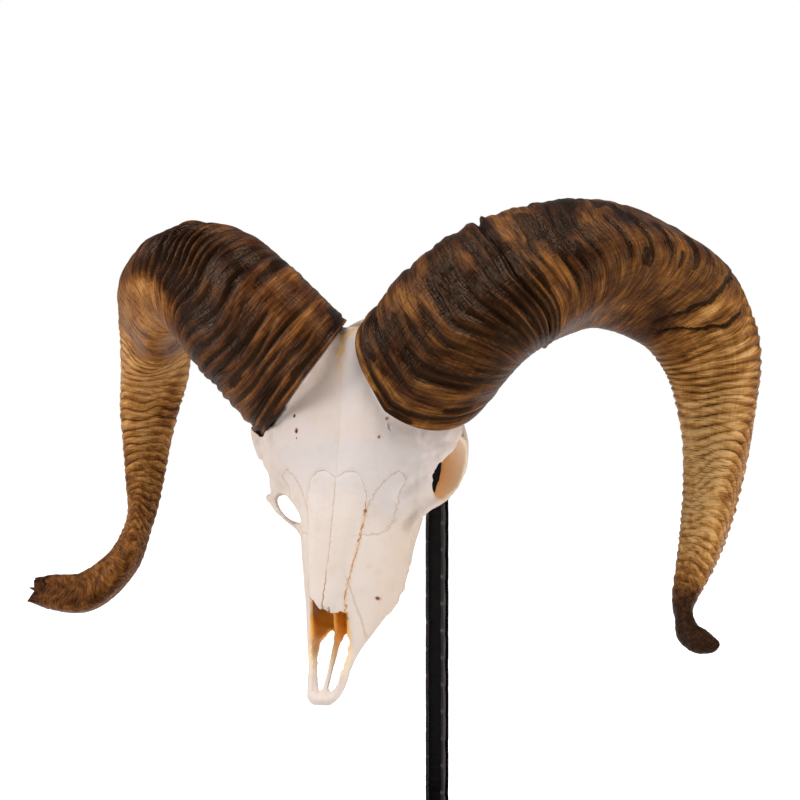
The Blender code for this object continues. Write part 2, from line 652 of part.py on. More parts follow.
def main():
    clean_scene()
    parts = collection("Ram skull on a stand")
    cutters = collection("Cutters")
    bone = material("Bleached bone", (0.86, 0.83, 0.78), 0.6)
    horn = material("Weathered horn", (0.16, 0.085, 0.04), 0.5)
    enamel = material("Tooth enamel", (0.72, 0.66, 0.54), 0.35)
    steel = material("Black forged steel", (0.012, 0.012, 0.013), 0.5, 0.6)

    make_skull(parts, cutters, bone)
    for name, stations in (("horn_left", HORN_LEFT), ("horn_right", HORN_RIGHT)):
        sheath = horn_sheath(name, stations, parts)
        sheath.data.materials.append(horn)
        sheath.data.shade_smooth()
    for side, word in ((1, "left"), (-1, "right")):
        for k in range(len(TEETH)):
            tooth = tooth_box(f"tooth_{word}_{k + 1}", k, side, parts)
            edge = tooth.modifiers.new("edge", "BEVEL")
            edge.width = 1.5 * MM
            edge.segments = 1
            tooth.data.materials.append(enamel)
    make_post(parts, steel)
    make_base(parts, steel)


main()
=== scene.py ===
import math
from functools import partial

import bmesh
import bpy
import numpy as np
from mathutils import Matrix, Vector, kdtree
from mathutils.bvhtree import BVHTree


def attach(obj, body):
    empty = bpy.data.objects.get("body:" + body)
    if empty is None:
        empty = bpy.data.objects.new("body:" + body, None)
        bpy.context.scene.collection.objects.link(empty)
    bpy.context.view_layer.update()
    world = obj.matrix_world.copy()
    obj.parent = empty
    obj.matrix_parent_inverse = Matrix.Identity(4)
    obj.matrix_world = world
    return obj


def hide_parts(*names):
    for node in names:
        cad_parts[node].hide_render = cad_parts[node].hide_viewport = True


# Ram skull on a stand, in metres. Skull points are (side, ahead, above) in mm from the nasion:
# side is the animal's left, ahead runs down the nose, above is the side of the forehead.

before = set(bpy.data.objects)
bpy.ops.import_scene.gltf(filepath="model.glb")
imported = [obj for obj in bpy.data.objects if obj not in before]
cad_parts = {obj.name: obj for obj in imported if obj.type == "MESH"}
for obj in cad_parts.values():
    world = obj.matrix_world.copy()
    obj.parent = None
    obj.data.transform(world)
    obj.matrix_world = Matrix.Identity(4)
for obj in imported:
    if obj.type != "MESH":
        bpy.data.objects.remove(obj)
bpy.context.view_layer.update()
mm = 0.001


# Colour and node helpers

def srgb(code):
    values = [int(code[k:k + 2], 16) / 255 for k in (1, 3, 5)]
    return (*(v / 12.92 if v <= 0.04045 else ((v + 0.055) / 1.055) ** 2.4 for v in values), 1.0)


def fillSockets(tree, node, links):
    # a socket takes another node's output or a plain value
    for name, value in links.items():
        socket = node.inputs[name]
        if isinstance(value, bpy.types.NodeSocket):
            tree.links.new(value, socket)
        else:
            socket.default_value = value


def addNode(tree, kind, links=None, **settings):
    # settings are the node's own, links fills its sockets
    node = tree.nodes.new(kind)
    for name, value in settings.items():
        setattr(node, name, value)
    fillSockets(tree, node, links or {})
    return node


def mathNode(tree, operation, a, b=None):
    links = {0: a} if b is None else {0: a, 1: b}
    return addNode(tree, "ShaderNodeMath", links, operation=operation).outputs[0]


def fold(tree, operation, *values):
    result = values[0]
    for value in values[1:]:
        result = mathNode(tree, operation, result, value)
    return result


def times(tree, *values):
    return fold(tree, "MULTIPLY", *values)


def total(tree, *values):
    return fold(tree, "ADD", *values)


def xyz(tree, x, y, z):
    return addNode(tree, "ShaderNodeCombineXYZ", {0: x, 1: y, 2: z}).outputs[0]


def mapRange(tree, value, low, high, outLow=0.0, outHigh=1.0):
    links = {"Value": value, "From Min": low, "From Max": high, "To Min": outLow, "To Max": outHigh}
    return addNode(tree, "ShaderNodeMapRange", links, interpolation_type="SMOOTHSTEP").outputs["Result"]


def mixColour(tree, share, a, b):
    low, high = (srgb(value) if isinstance(value, str) else value for value in (a, b))
    return addNode(tree, "ShaderNodeMix", {0: share, 6: low, 7: high}, data_type="RGBA").outputs[2]


def noise(tree, vector, scale, detail):
    links = {"Vector": vector, "Scale": scale, "Detail": detail}
    return addNode(tree, "ShaderNodeTexNoise", links).outputs[0]


def attribute(tree, name):
    return addNode(tree, "ShaderNodeAttribute", attribute_name=name).outputs["Fac"]


def newMaterial(name):
    made = bpy.data.materials.new(name)
    made.use_nodes = True
    tree = made.node_tree
    spot = addNode(tree, "ShaderNodeTexCoord").outputs["Object"]
    return made, tree, tree.nodes["Principled BSDF"], spot


def bump(tree, height, strength, distance):
    links = {"Height": height, "Strength": strength, "Distance": distance}
    return addNode(tree, "ShaderNodeBump", links).outputs["Normal"]


# Mesh helpers

pieces = bpy.data.collections.new("Ram skull pieces")
bpy.context.scene.collection.children.link(pieces)


def linkPiece(name, mesh):
    made = bpy.data.objects.new(name, mesh)
    pieces.objects.link(made)
    return made


def objectFrom(bm, name):
    mesh = bpy.data.meshes.new(name)
    bmesh.ops.recalc_face_normals(bm, faces=bm.faces)
    bm.to_mesh(mesh)
    bm.free()
    return linkPiece(name, mesh)


def catmull(points, count):
    points = np.asarray(points, float)
    padded = np.vstack([2 * points[0] - points[1], points, 2 * points[-1] - points[-2]])
    places = np.linspace(0, len(points) - 1, count)
    first = np.minimum(places.astype(int), len(points) - 2)
    t = (places - first)[:, None]
    p0, p1, p2, p3 = (padded[first + k] for k in range(4))
    return 0.5 * (2 * p1 + (p2 - p0) * t + (2 * p0 - 5 * p1 + 4 * p2 - p3) * t**2
                  + (3 * p1 - p0 - 3 * p2 + p3) * t**3)


def bridge(bm, rows):
    for low, high in zip(rows, rows[1:]):
        for k in range(len(low)):
            n = (k + 1) % len(low)
            bm.faces.new((low[k], low[n], high[n], high[k]))


def loft(name, rings):
    bm = bmesh.new()
    rows = [[bm.verts.new(p) for p in ring] for ring in rings]
    bridge(bm, rows)
    caps = [bm.faces.new(rows[0]), bm.faces.new(rows[-1])]
    bmesh.ops.triangulate(bm, faces=caps)
    return objectFrom(bm, name)


def bakeModifiers(thing):
    graph = bpy.context.evaluated_depsgraph_get()
    done = bpy.data.meshes.new_from_object(thing.evaluated_get(graph))
    thing.modifiers.clear()
    thing.data = done


def cutOut(body, tool, solver="MANIFOLD"):
    step = body.modifiers.new("cut", "BOOLEAN")
    step.operation = "DIFFERENCE"
    step.solver = solver
    step.object = tool
    bakeModifiers(body)
    bpy.data.objects.remove(tool, do_unlink=True)


def joinMeshes(things, name):
    bm = bmesh.new()
    for thing in things:
        bm.from_mesh(thing.data)
        bpy.data.objects.remove(thing, do_unlink=True)
    mesh = bpy.data.meshes.new(name)
    bm.to_mesh(mesh)
    bm.free()
    return linkPiece(name, mesh)


def voxelSkin(thing, voxel, turns):
    grid = thing.modifiers.new("grid", "REMESH")
    grid.mode = "VOXEL"
    grid.voxel_size = voxel
    soften = thing.modifiers.new("soften", "SMOOTH")
    soften.factor = 0.5
    soften.iterations = turns
    bakeModifiers(thing)


def readVectors(held, count, key):
    flat = np.empty(count * 3, np.float32)
    held.foreach_get(key, flat)
    return flat.reshape(-1, 3).astype(float)


def storeValue(mesh, name, values):
    held = mesh.attributes.new(name, "FLOAT", "POINT")
    held.data.foreach_set("value", np.asarray(values, np.float32))


def softNoise(x, y, seed, wrap=0):
    # smooth random values between -1 and 1 over a plane; wrap closes it round y
    size = 97
    table = np.random.RandomState(seed).rand(size, size) * 2 - 1
    xi, yi = np.floor(x).astype(int), np.floor(y).astype(int)
    fx, fy = x - xi, y - yi
    fx, fy = fx * fx * (3 - 2 * fx), fy * fy * (3 - 2 * fy)
    turn = wrap or size
    y0, y1 = yi % turn, (yi + 1) % turn
    x0, x1 = xi % size, (xi + 1) % size
    low = table[x0, y0] * (1 - fy) + table[x0, y1] * fy
    high = table[x1, y0] * (1 - fy) + table[x1, y1] * fy
    return low * (1 - fx) + high * fx


def smoothstep(value, low, high):
    t = np.clip((value - low) / (high - low), 0, 1)
    return t * t * (3 - 2 * t)


def between(value, start, full, fall, stop):
    # rises from start to full and falls from fall to stop
    return smoothstep(value, start, full) * (1 - smoothstep(value, fall, stop))


def bell(value, middle, width):
    return np.exp(-((value - middle) / width) ** 2)


# Skull frame

skull = {
    "nasion": Vector((0.0, -0.152, 0.311)),
    "pitch": math.radians(15.7),  # how far the nasal line leans forward from plumb
    "voxel": 1.5 * mm,
    "smoothTurns": 6,
    "coreGap": 1.2,
}
ahead = Vector((0.0, -math.sin(skull["pitch"]), -math.cos(skull["pitch"])))
above = Vector((0.0, -math.cos(skull["pitch"]), math.sin(skull["pitch"])))
sideways = Vector((1.0, 0.0, 0.0))


def skullPoint(side, forward, up):
    return skull["nasion"] + (sideways * side + ahead * forward + above * up) * mm


def skullCoordinates(points):
    # each point as (side, ahead, above) in mm
    away = (np.asarray(points) - np.array(skull["nasion"])) / mm
    return np.stack([away @ np.array(sideways), away @ np.array(ahead), away @ np.array(above)], 1)


# Horns: each station is a centre (mm), half width across the heading, half depth, and the turn of the
# front edge in degrees from the outside of the curl

horns = {
    "horn_left": {
        "stations": (
            ((44, -110, 384), 49, 50, 126),
            ((79, -112, 421), 48.5, 47, 120),
            ((113, -98, 443), 46.5, 43, 115),
            ((148, -75, 454), 44.5, 40, 99),
            ((176, -50, 449), 42.5, 38, 78),
            ((203, -25, 430), 39.5, 35, 64),
            ((218, -5, 400), 34, 31, 55),
            ((223, 4, 370), 29.2, 27, 62),
            ((225, 4, 333), 24, 23, 74),
            ((222, -5, 292), 19, 19, 86),
            ((217, -22, 259), 14.6, 16, 80),
            ((210, -42, 230), 8.5, 12.5, 72),
            ((210.5, -53, 218), 5.8, 10, 70),
            ((215, -63, 208), 8.0, 9, 60),
            ((225, -72, 204.5), 8.4, 7, 50),
            ((237, -81, 203), 3.6, 4.0, 45),
        ),
        "rim": (0.56, 0.40, -0.03),
        "seed": 11, "splintered": False,
    },
    "horn_right": {
        "stations": (
            ((-42, -110, 378), 49, 50, 176),
            ((-83, -112, 418), 47.5, 47, 174),
            ((-114, -98, 440), 44, 43, 170),
            ((-150, -75, 448), 34.5, 40, 160),
            ((-183, -50, 440), 31, 38, 140),
            ((-205, -25, 424), 29.5, 34, 118),
            ((-217, -6, 405), 28.5, 30, 96),
            ((-223, 4, 382), 27.5, 26, 76),
            ((-226, 4, 355), 23, 22, 62),
            ((-226, 0, 325), 18.2, 18, 58),
            ((-220, -15, 294), 14.2, 15, 60),
            ((-213, -36, 268), 10.6, 12.5, 80),
            ((-216, -57, 238), 13.0, 10, 100),
            ((-236, -74, 217), 15.2, 8.5, 110),
            ((-258, -87, 217), 13.5, 7, 110),
            ((-270, -93, 219), 9.5, 4.5, 110),
        ),
        "rim": (0.26, -0.20, -0.14),
        "seed": 23, "splintered": True,
    },
}
hornMake = {
    "heading": math.radians(20),
    "fine": 60,  # steps between two stations
    "headingSpan": 18,  # steps either way over which the heading is taken
    "sides": 144,
    "rings": 620,
    "wall": 6.0,
    "coreReach": 2.3,  # stations that the hollow runs up the horn
    "coreTaper": 0.31,
    "hollowTaper": 0.30,
    "hollowRings": 26,
    "edgeLift": 0.105,
    "wrinkleStep": 5.4,
    "ribStep": 7.2,
    "lineHeight": 0.42,
}


def hornSurface(horn, first, last, count, sides, swell=0.0, baseGap=0.0):
    # positions in mm as (ring, side, xyz), with how far along and how far round each one is
    stations, fine, span = horn["stations"], hornMake["fine"], hornMake["headingSpan"]
    values = [[*centre, wide, deep, math.radians(edge)] for centre, wide, deep, edge in stations]
    rows = catmull(values, fine * (len(stations) - 1) + 1)
    steps = np.linalg.norm(np.diff(rows[:, :3], axis=0), axis=1)
    lengths = np.concatenate([[0], np.cumsum(steps)])
    place = np.linspace(first, last, count)
    index = np.arange(len(rows))

    def rowsAt(where, width):
        return np.stack([np.interp(where, index, rows[:, k]) for k in range(width)], 1)

    at = rowsAt(place * fine, 6)
    wide, deep, edge = at[:, 3][:, None], at[:, 4][:, None], at[:, 5][:, None]
    run = rowsAt(place * fine + span, 3) - rowsAt(place * fine - span, 3)
    run /= np.linalg.norm(run, axis=1)[:, None]
    hand = 1 if stations[0][0][0] > 0 else -1
    facing = np.array((-math.sin(hornMake["heading"]), math.cos(hornMake["heading"]), 0.0))
    outer = np.cross(run, facing)
    outer *= hand / np.linalg.norm(outer, axis=1)[:, None]
    near = run * (run @ facing)[:, None] - facing
    near /= np.linalg.norm(near, axis=1)[:, None]
    turns = np.linspace(0, 2 * np.pi, sides, endpoint=False)
    away = (turns[None, :] - edge + np.pi) % (2 * np.pi) - np.pi
    lift = hornMake["edgeLift"]
    radius = 1 + lift * np.cos(3 * away) + 0.5 * lift * np.exp(-(away / 0.4) ** 2)
    x, y = (2 * (v - (v.max(1) + v.min(1))[:, None] / 2) / (v.max(1) - v.min(1))[:, None]
            for v in (radius * np.cos(turns), radius * np.sin(turns)))
    # the rim slips along the horn, more on one side than on the other
    fade = np.clip(1.0 - place / 2.0, 0, 1)[:, None]
    forward, inside, outside = horn["rim"]
    lean = np.where(x > 0, outside, inside) * x
    slip = fade * (forward * y * deep + lean * wide) + baseGap
    points = at[:, None, :3] + outer[:, None, :] * (x * (wide + swell))[:, :, None]
    points = points + near[:, None, :] * (y * (deep + swell))[:, :, None] - run[:, None, :] * slip[:, :, None]
    along = np.interp(place * fine, index, lengths)
    return {"points": points, "around": away, "along": np.repeat(along[:, None], sides, 1),
            "place": np.repeat(place[:, None], sides, 1)}


def gridNormals(points):
    across = np.roll(points, -1, 1) - np.roll(points, 1, 1)
    down = np.gradient(points, axis=0)
    normals = np.cross(across, down)
    return normals / np.maximum(np.linalg.norm(normals, axis=2), 1e-9)[:, :, None]


def drawnIn(rings, share):
    # rings drawn in towards their middles, by the whole share at the last one
    shrink = 1 - share * (np.linspace(0, 1, len(rings)) ** 1.5)
    middle = rings.mean(1, keepdims=True)
    return middle + (rings - middle) * shrink[:, None, None]


def hollowRings(horn, gap, count, sides):
    inner = hornSurface(horn, 0, hornMake["coreReach"], count, sides, -hornMake["wall"] - gap, gap)["points"]
    return drawnIn(inner, hornMake["hollowTaper"])


def skinFrom(name, grids):
    # one closed skin over grids of rings of equal length, laid end to end
    rings = np.concatenate(grids)
    count, sides = rings.shape[:2]
    mesh = bpy.data.meshes.new(name)
    near = np.arange(sides)
    after = (near + 1) % sides
    quads = []
    for k in range(count - 1):
        low, high = k * sides, (k + 1) * sides
        quads.append(np.stack([low + near, low + after, high + after, high + near], 1))
    quads = np.concatenate(quads)
    ends = np.array([rings[0].mean(0), rings[-1].mean(0)])
    points = np.concatenate([rings.reshape(-1, 3), ends]) * mm
    fans = []
    for centre, base, flip in ((len(points) - 2, 0, False), (len(points) - 1, (count - 1) * sides, True)):
        pair = (base + near, base + after)
        if flip:
            pair = pair[::-1]
        fans += [(int(centre), int(b), int(a)) for a, b in zip(*pair)]
    mesh.from_pydata(points.tolist(), [], quads.tolist() + fans)
    mesh.update()
    return linkPiece(name, mesh)


def hornRelief(horn, grid):
    # height in mm off the plain form, the growth coordinate, how dark the grooves are (dirt and painted
    # shade), how golden the horn is (with painted light on its ridges and ribs) and how strong its ridges are
    along, around, place = grid["along"], grid["around"], grid["place"]
    seed, turn = horn["seed"], around / (2 * np.pi)

    def wavy(value, count, shift, start=0):
        # smooth random values, count of them round the horn
        return softNoise(value, turn * count + start, seed + shift, count)

    def stationed(key):
        return np.interp(place, *zip(*horn[key]))

    fromEdge = around - stationed("edge")
    front = (1 - smoothstep(fromEdge, -0.12, 0.35)) * smoothstep(around, -3.1, -2.2)
    growth = along - stationed("reach") * bell(fromEdge, 0.1, horn["reachWidth"])
    growth = growth + 2.2 * wavy(along / 40, 7, 0, 40) + 0.5 * wavy(along / 11, 18, 1)
    first = 1 - smoothstep(place, *horn["ridged"])
    wear = stationed("wear")
    # ridges of the first years: strong on the front, all but gone on the face towards the eye
    strength = front * wear + 0.10
    coarse = wavy(growth / 4.2, 6, 2, 3) + 0.55 * wavy(growth / 2.0, 9, 3)
    height = strength * 1.15 * coarse
    # the low places between the ridges are marked for darkening: partly dirt and partly painted shade
    groove = smoothstep(-coarse, 0.35, 0.95) * strength * 0.40
    wander = growth + 1.4 * wavy(along / 16, 11, 5)
    for centre, width, depth, low, high in horn["grooves"]:
        low, high = math.radians(low), math.radians(high)
        over = between(around, low - 0.3, low + 0.25, high - 0.25, high + 0.3)
        line = bell(wander, centre, width) * over
        lip = bell(wander, centre + width * 2.0, width * 1.3) * over
        height += 0.8 * depth * lip - 1.4 * depth * line
        groove = np.maximum(groove, line * min(1.0, depth / 0.9))
    # wrinkles crowd along the front edge like knuckles
    start, stop, amount = horn["knuckles"]
    crowd = bell(fromEdge, -0.02, 0.34) * between(place, start, start + 0.4, stop - 0.5, stop)
    wrinkle = np.sin(2 * np.pi * (growth + 1.6 * wavy(along / 9, 10, 30)) / hornMake["wrinkleStep"])
    height += amount * crowd * wrinkle
    groove = np.maximum(groove, 0.5 * crowd * smoothstep(-wrinkle, 0.3, 1.0))
    # the descending part has wavy cross ribs, rounded on the near side and steep on the far side like scales
    low, high = horn["ribs"]
    ribs = between(place, low, low + 0.6, high - 0.8, high)
    bend = 8 * wavy(along / 60, 5, 7) + 2.4 * wavy(along / 13, 12, 8)
    bend = bend + 9 * fromEdge * bell(fromEdge, -0.4, 0.9)
    loud = 0.5 + 0.5 * wavy(along / 22, 7, 9)
    scale = ((along + bend) / hornMake["ribStep"]) % 1.0
    scale = np.minimum((1 - scale) / 0.78, scale / 0.22)
    height += ribs * horn["ribHeight"] * (1.1 * smoothstep(scale, 0, 1) - 0.5) * (0.4 + 0.6 * loud)
    # the rib troughs are marked for darkening too: partly dirt and partly painted shade
    groove = np.maximum(groove, ribs * smoothstep(0.32 - scale, 0, 0.3) * (0.12 + 0.50 * loud))
    # fine growth steps everywhere, and broken patches on the front
    height += 0.13 * wavy(growth / 1.7, 5, 10)
    patch = np.clip(wavy(growth / 5, 13, 12) - 0.42, 0, 1) * front
    height -= 1.3 * patch * np.clip(wear, 0.2, 1)
    groove = np.maximum(groove, smoothstep(patch, 0.05, 0.3) * 0.85 * smoothstep(wear, 0.12, 0.35))
    for path, depth, step in horn["cracks"]:
        spans = [math.radians(a) for a, _ in path]
        away = (place - np.interp(around, spans, [v for _, v in path])) * 40
        away = away + 1.6 * softNoise(turn * 60, along * 0 + 3, seed + 15)
        away = away + 0.8 * softNoise(turn * 150, along * 0, seed + 16)
        over = between(around, spans[0] - 0.15, spans[0] + 0.1, spans[-1] - 0.1, spans[-1] + 0.3)
        line = bell(away, 0, 2.2) * over
        step = step * (1 + 2.0 * bell(around, -0.2, 0.35))
        height -= depth * line + step * between(away, -0.4, 0.8, 10, 22) * over
        height += 0.5 * step * bell(away, -2.6, 1.8) * over
        groove = np.maximum(groove, line)
    height *= (0.35 + 0.65 * smoothstep(place, 0.0, 0.08)) * (1 - 0.5 * smoothstep(place, 10.5, 12.5))
    tone = stationed("faceTone")
    tone = tone + (stationed("frontTone") - tone) * (1 - smoothstep(fromEdge, -0.15, 0.2))
    cloudy = 0.75 + 0.5 * wavy(growth / 6, 14, 20)
    for where, angle, wide, high, amount in horn["patches"]:
        spread = bell(place, where, wide) * bell(around, math.radians(angle), math.radians(high))
        tone = tone + amount * spread * cloudy
    # a paler lip where the sheath was pulled from the skin
    tone = tone + 0.12 * bell(along, 2.0, 1.6)
    # paler on the crests of the early ridges, partly wear and partly painted highlight; paler on the rib
    # crests and darker in the rib troughs: painted light and shade
    tone = tone + 0.10 * coarse * front * first + ribs * 0.10 * (2 * smoothstep(scale, 0, 1) - 1)
    return height, growth, np.clip(groove, 0, 1), np.clip(tone, 0, 1), strength


# Each groove is where it lies along the growth, its half width and depth (mm), and the turns it spans in
# degrees. The other tables give a value at each station.
horns["horn_left"].update({
    "edge": ((0, 0.1), (1, 0.0), (3, -0.08), (4, 0.0), (15, 0.0)),
    "reach": ((0, 2), (0.5, 10), (1.2, 10), (1.8, 7), (3, 5), (15, 3)),
    "reachWidth": 0.6,
    "knuckles": (0.3, 1.9, 0.5),
    "ridged": (1.9, 2.5),
    "wear": ((0, 0.55), (0.3, 0.8), (1.7, 1.0), (2.0, 0.55), (3, 0.6), (4, 0.35), (5, 0.3), (6, 0.1)),
    "grooves": (
        (5, 1.4, 0.8, -180, 180), (17, 1.6, 1.0, -110, -40), (24, 1.8, 1.5, -60, 0),
        (29, 1.5, 1.4, -50, 5), (36, 1.3, 0.9, -80, -30), (43, 1.8, 1.4, -70, -15),
        (50, 1.6, 1.7, -85, -10), (55, 1.5, 1.4, -60, 10), (61, 2.2, 2.2, -40, 15),
        (66, 1.3, 1.0, -50, 20), (72, 1.5, 1.4, -100, 25), (76.5, 1.3, 1.8, -100, 40),
        (81, 1.5, 3.0, -150, 75), (85, 1.2, 1.8, -70, 60), (89, 1.1, 1.2, -50, 40),
        (98, 1.2, 0.9, -95, -30), (108, 1.3, 1.2, -80, 0), (116, 1.3, 1.3, -95, -10),
        (128, 1.1, 0.8, -80, -10), (147, 1.3, 1.1, -60, -5), (160, 1.2, 0.9, -60, 0),
        (172, 1.1, 0.9, -50, 0)),
    "ribs": (5.3, 11.4),
    "ribHeight": 1.3,
    "cracks": (
        (((-30, 5.1), (-5, 5.05), (20, 5.0), (45, 4.85), (70, 4.6)), 1.8, 0.8),
        (((-25, 5.35), (0, 5.5), (25, 5.5), (50, 5.3), (80, 4.85)), 2.6, 1.3)),
    # on the descending part, stations 6 to 10, the face is paler than the front edge: painted light from the
    # left on top of the horn's own bands
    "frontTone": (
        (0, 0.38), (0.3, 0.30), (0.5, 0.30), (1, 0.30), (1.5, 0.26), (1.75, 0.14), (1.9, 0.40),
        (2.2, 0.44), (2.5, 0.24), (3, 0.32), (4, 0.36), (5, 0.42), (6, 0.62), (8, 0.70), (9, 0.72),
        (10, 0.74), (10.8, 0.56), (11.3, 0.28), (12, 0.15), (15, 0.12)),
    "faceTone": (
        (0, 0.34), (0.7, 0.30), (1.2, 0.36), (1.7, 0.3), (2, 0.40), (3, 0.42), (4, 0.40), (4.6, 0.36),
        (5, 0.50), (6, 0.72), (8, 0.94), (9, 0.96), (10, 0.88), (10.8, 0.56), (11.3, 0.28), (12, 0.15),
        (15, 0.12)),
    # darker or paler places: station, turn, their reach in each and how much
    "patches": (
        (0.45, -80, 0.2, 22, -0.22), (0.8, -95, 0.35, 30, 0.14), (1.25, -60, 0.3, 30, -0.16),
        (2.55, -60, 0.22, 16, -0.42), (2.75, -100, 0.2, 20, -0.3), (3.5, -55, 0.18, 16, -0.34),
        (3.9, -45, 0.12, 14, -0.3), (4.3, -60, 0.15, 14, -0.2), (2.2, -15, 0.35, 12, 0.14),
        (2.35, -62, 0.22, 22, -0.25), (5.15, 30, 0.1, 34, 0.34), (4.7, 75, 0.3, 22, -0.25),
        (6.2, 90, 1.0, 25, -0.14)),
})
horns["horn_right"].update({
    "edge": (
        (0, 0.0), (0.8, -0.15), (1.4, -0.5), (2.2, -0.9), (3, -1.35), (4, -1.7), (5, -1.9), (7.5, -1.0),
        (9, -0.3), (15, 0)),
    "reach": ((0, 0), (0.5, 5), (1.2, 7), (2.2, 9), (3, 10), (4, 8), (6, 5), (15, 2)),
    "reachWidth": 0.5,
    "knuckles": (0.25, 3.3, 1.0),
    "ridged": (2.4, 3.4),
    "wear": ((0, 0.6), (0.5, 0.8), (1.3, 1.0), (2.6, 1.2), (3.1, 0.6), (3.8, 0.3), (6, 0.1)),
    "grooves": (
        (4, 1.4, 0.9, -180, 180), (10, 1.8, 2.2, -60, -5), (14, 1.3, 1.2, -110, -30),
        (22, 1.5, 1.3, -80, -15), (28, 1.4, 1.6, -125, -50), (33, 1.6, 1.5, -85, -25),
        (41, 1.6, 1.7, -95, -10), (47, 1.3, 1.0, -60, 0), (55, 1.5, 1.5, -70, -5),
        (63, 1.3, 1.2, -100, -20), (72, 1.4, 1.4, -75, -20), (79, 1.4, 1.7, -110, -25),
        (84, 1.2, 1.6, -115, -30), (89, 1.3, 2.0, -120, -35), (94, 1.3, 1.8, -125, -35),
        (99, 1.2, 1.8, -125, -40), (104, 1.4, 2.2, -130, -45), (110, 1.2, 1.5, -130, -50),
        (117, 1.4, 1.8, -135, -60), (124, 1.2, 1.2, -135, -70), (131, 1.3, 1.3, -135, -80),
        (140, 1.2, 1.0, -140, -85)),
    "ribs": (5.0, 12.0),
    "ribHeight": 1.05,
    "cracks": ((((-100, 14.2), (-80, 14.55), (-60, 14.3)), 2.0, 0.2),),
    "frontTone": (
        (0, 0.36), (0.5, 0.36), (1, 0.33), (1.5, 0.22), (2, 0.22), (2.6, 0.18), (3.1, 0.34), (4, 0.52),
        (5, 0.72), (7, 0.84), (8, 0.86), (9, 0.84), (10, 0.78), (11, 0.6), (12, 0.52), (13, 0.48),
        (14, 0.42), (15, 0.28)),
    "faceTone": (
        (0, 0.26), (1, 0.3), (1.8, 0.46), (2.6, 0.62), (3.4, 0.68), (4, 0.62), (4.6, 0.52), (5.2, 0.68),
        (6, 0.84), (7, 0.86), (8, 0.8), (9, 0.76), (10, 0.70), (11, 0.58), (12, 0.52), (13, 0.48),
        (14, 0.42), (15, 0.28)),
    # darker or paler places: station, turn, their reach in each and how much
    "patches": (
        (1.35, -100, 0.25, 24, -0.22), (0.7, -60, 0.3, 25, -0.1), (2.4, -110, 0.3, 22, -0.2),
        (1.9, -125, 0.25, 16, 0.24), (7.9, 85, 0.7, 30, -0.26), (9.4, -15, 0.6, 22, -0.22),
        (10.3, -10, 0.5, 22, -0.2), (12.4, 20, 0.2, 16, -0.3), (12.9, 5, 0.15, 14, -0.3),
        (14.4, -30, 0.25, 20, -0.3), (8.6, 40, 0.9, 16, 0.16), (11.2, 20, 0.8, 14, 0.14)),
})


def fineRidges():
    # Geometry Nodes: raises fine growth lines that follow the rings and fine fibres that follow the horn
    tree = bpy.data.node_groups.new("Fine horn growth", "GeometryNodeTree")
    tree.interface.new_socket(name="Geometry", in_out="INPUT", socket_type="NodeSocketGeometry")
    for name, value in (("Line spacing", 2.6), ("Line height", 0.16), ("Fibre height", 0.05)):
        made = tree.interface.new_socket(name=name, in_out="INPUT", socket_type="NodeSocketFloat")
        made.default_value = value
    tree.interface.new_socket(name="Finish", in_out="INPUT", socket_type="NodeSocketMaterial")
    tree.interface.new_socket(name="Geometry", in_out="OUTPUT", socket_type="NodeSocketGeometry")
    given = addNode(tree, "NodeGroupInput").outputs
    growth, turnX, turnY, outside = (
        addNode(tree, "GeometryNodeInputNamedAttribute", {"Name": name}, data_type="FLOAT").outputs[0]
        for name in ("growth", "turnX", "turnY", "outside"))

    def raised(along, roundScale, detail, height):
        vector = xyz(tree, along, times(tree, turnX, roundScale), times(tree, turnY, roundScale))
        wave = mathNode(tree, "SUBTRACT", noise(tree, vector, 1.0, detail), 0.5)
        return times(tree, wave, given[height])

    rise = raised(mathNode(tree, "DIVIDE", growth, given["Line spacing"]), 1.6, 2.0, "Line height")
    grain = raised(times(tree, growth, 0.03), 26.0, 1.0, "Fibre height")
    metres = times(tree, total(tree, rise, grain), outside, 2 * mm)
    normal = addNode(tree, "GeometryNodeInputNormal").outputs[0]
    offset = addNode(tree, "ShaderNodeVectorMath", {0: normal, "Scale": metres}, operation="SCALE").outputs[0]
    moved = addNode(tree, "GeometryNodeSetPosition", {"Geometry": given["Geometry"], "Offset": offset})
    whole = addNode(tree, "GeometryNodeRealizeInstances", {0: moved.outputs[0]})
    links = {"Geometry": whole.outputs[0], "Material": given["Finish"]}
    finished = addNode(tree, "GeometryNodeSetMaterial", links)
    addNode(tree, "NodeGroupOutput", {0: finished.outputs[0]})
    return tree


def socketId(tree, name):
    return next(item.identifier for item in tree.interface.items_tree
                if item.name == name and getattr(item, "in_out", "") == "INPUT")


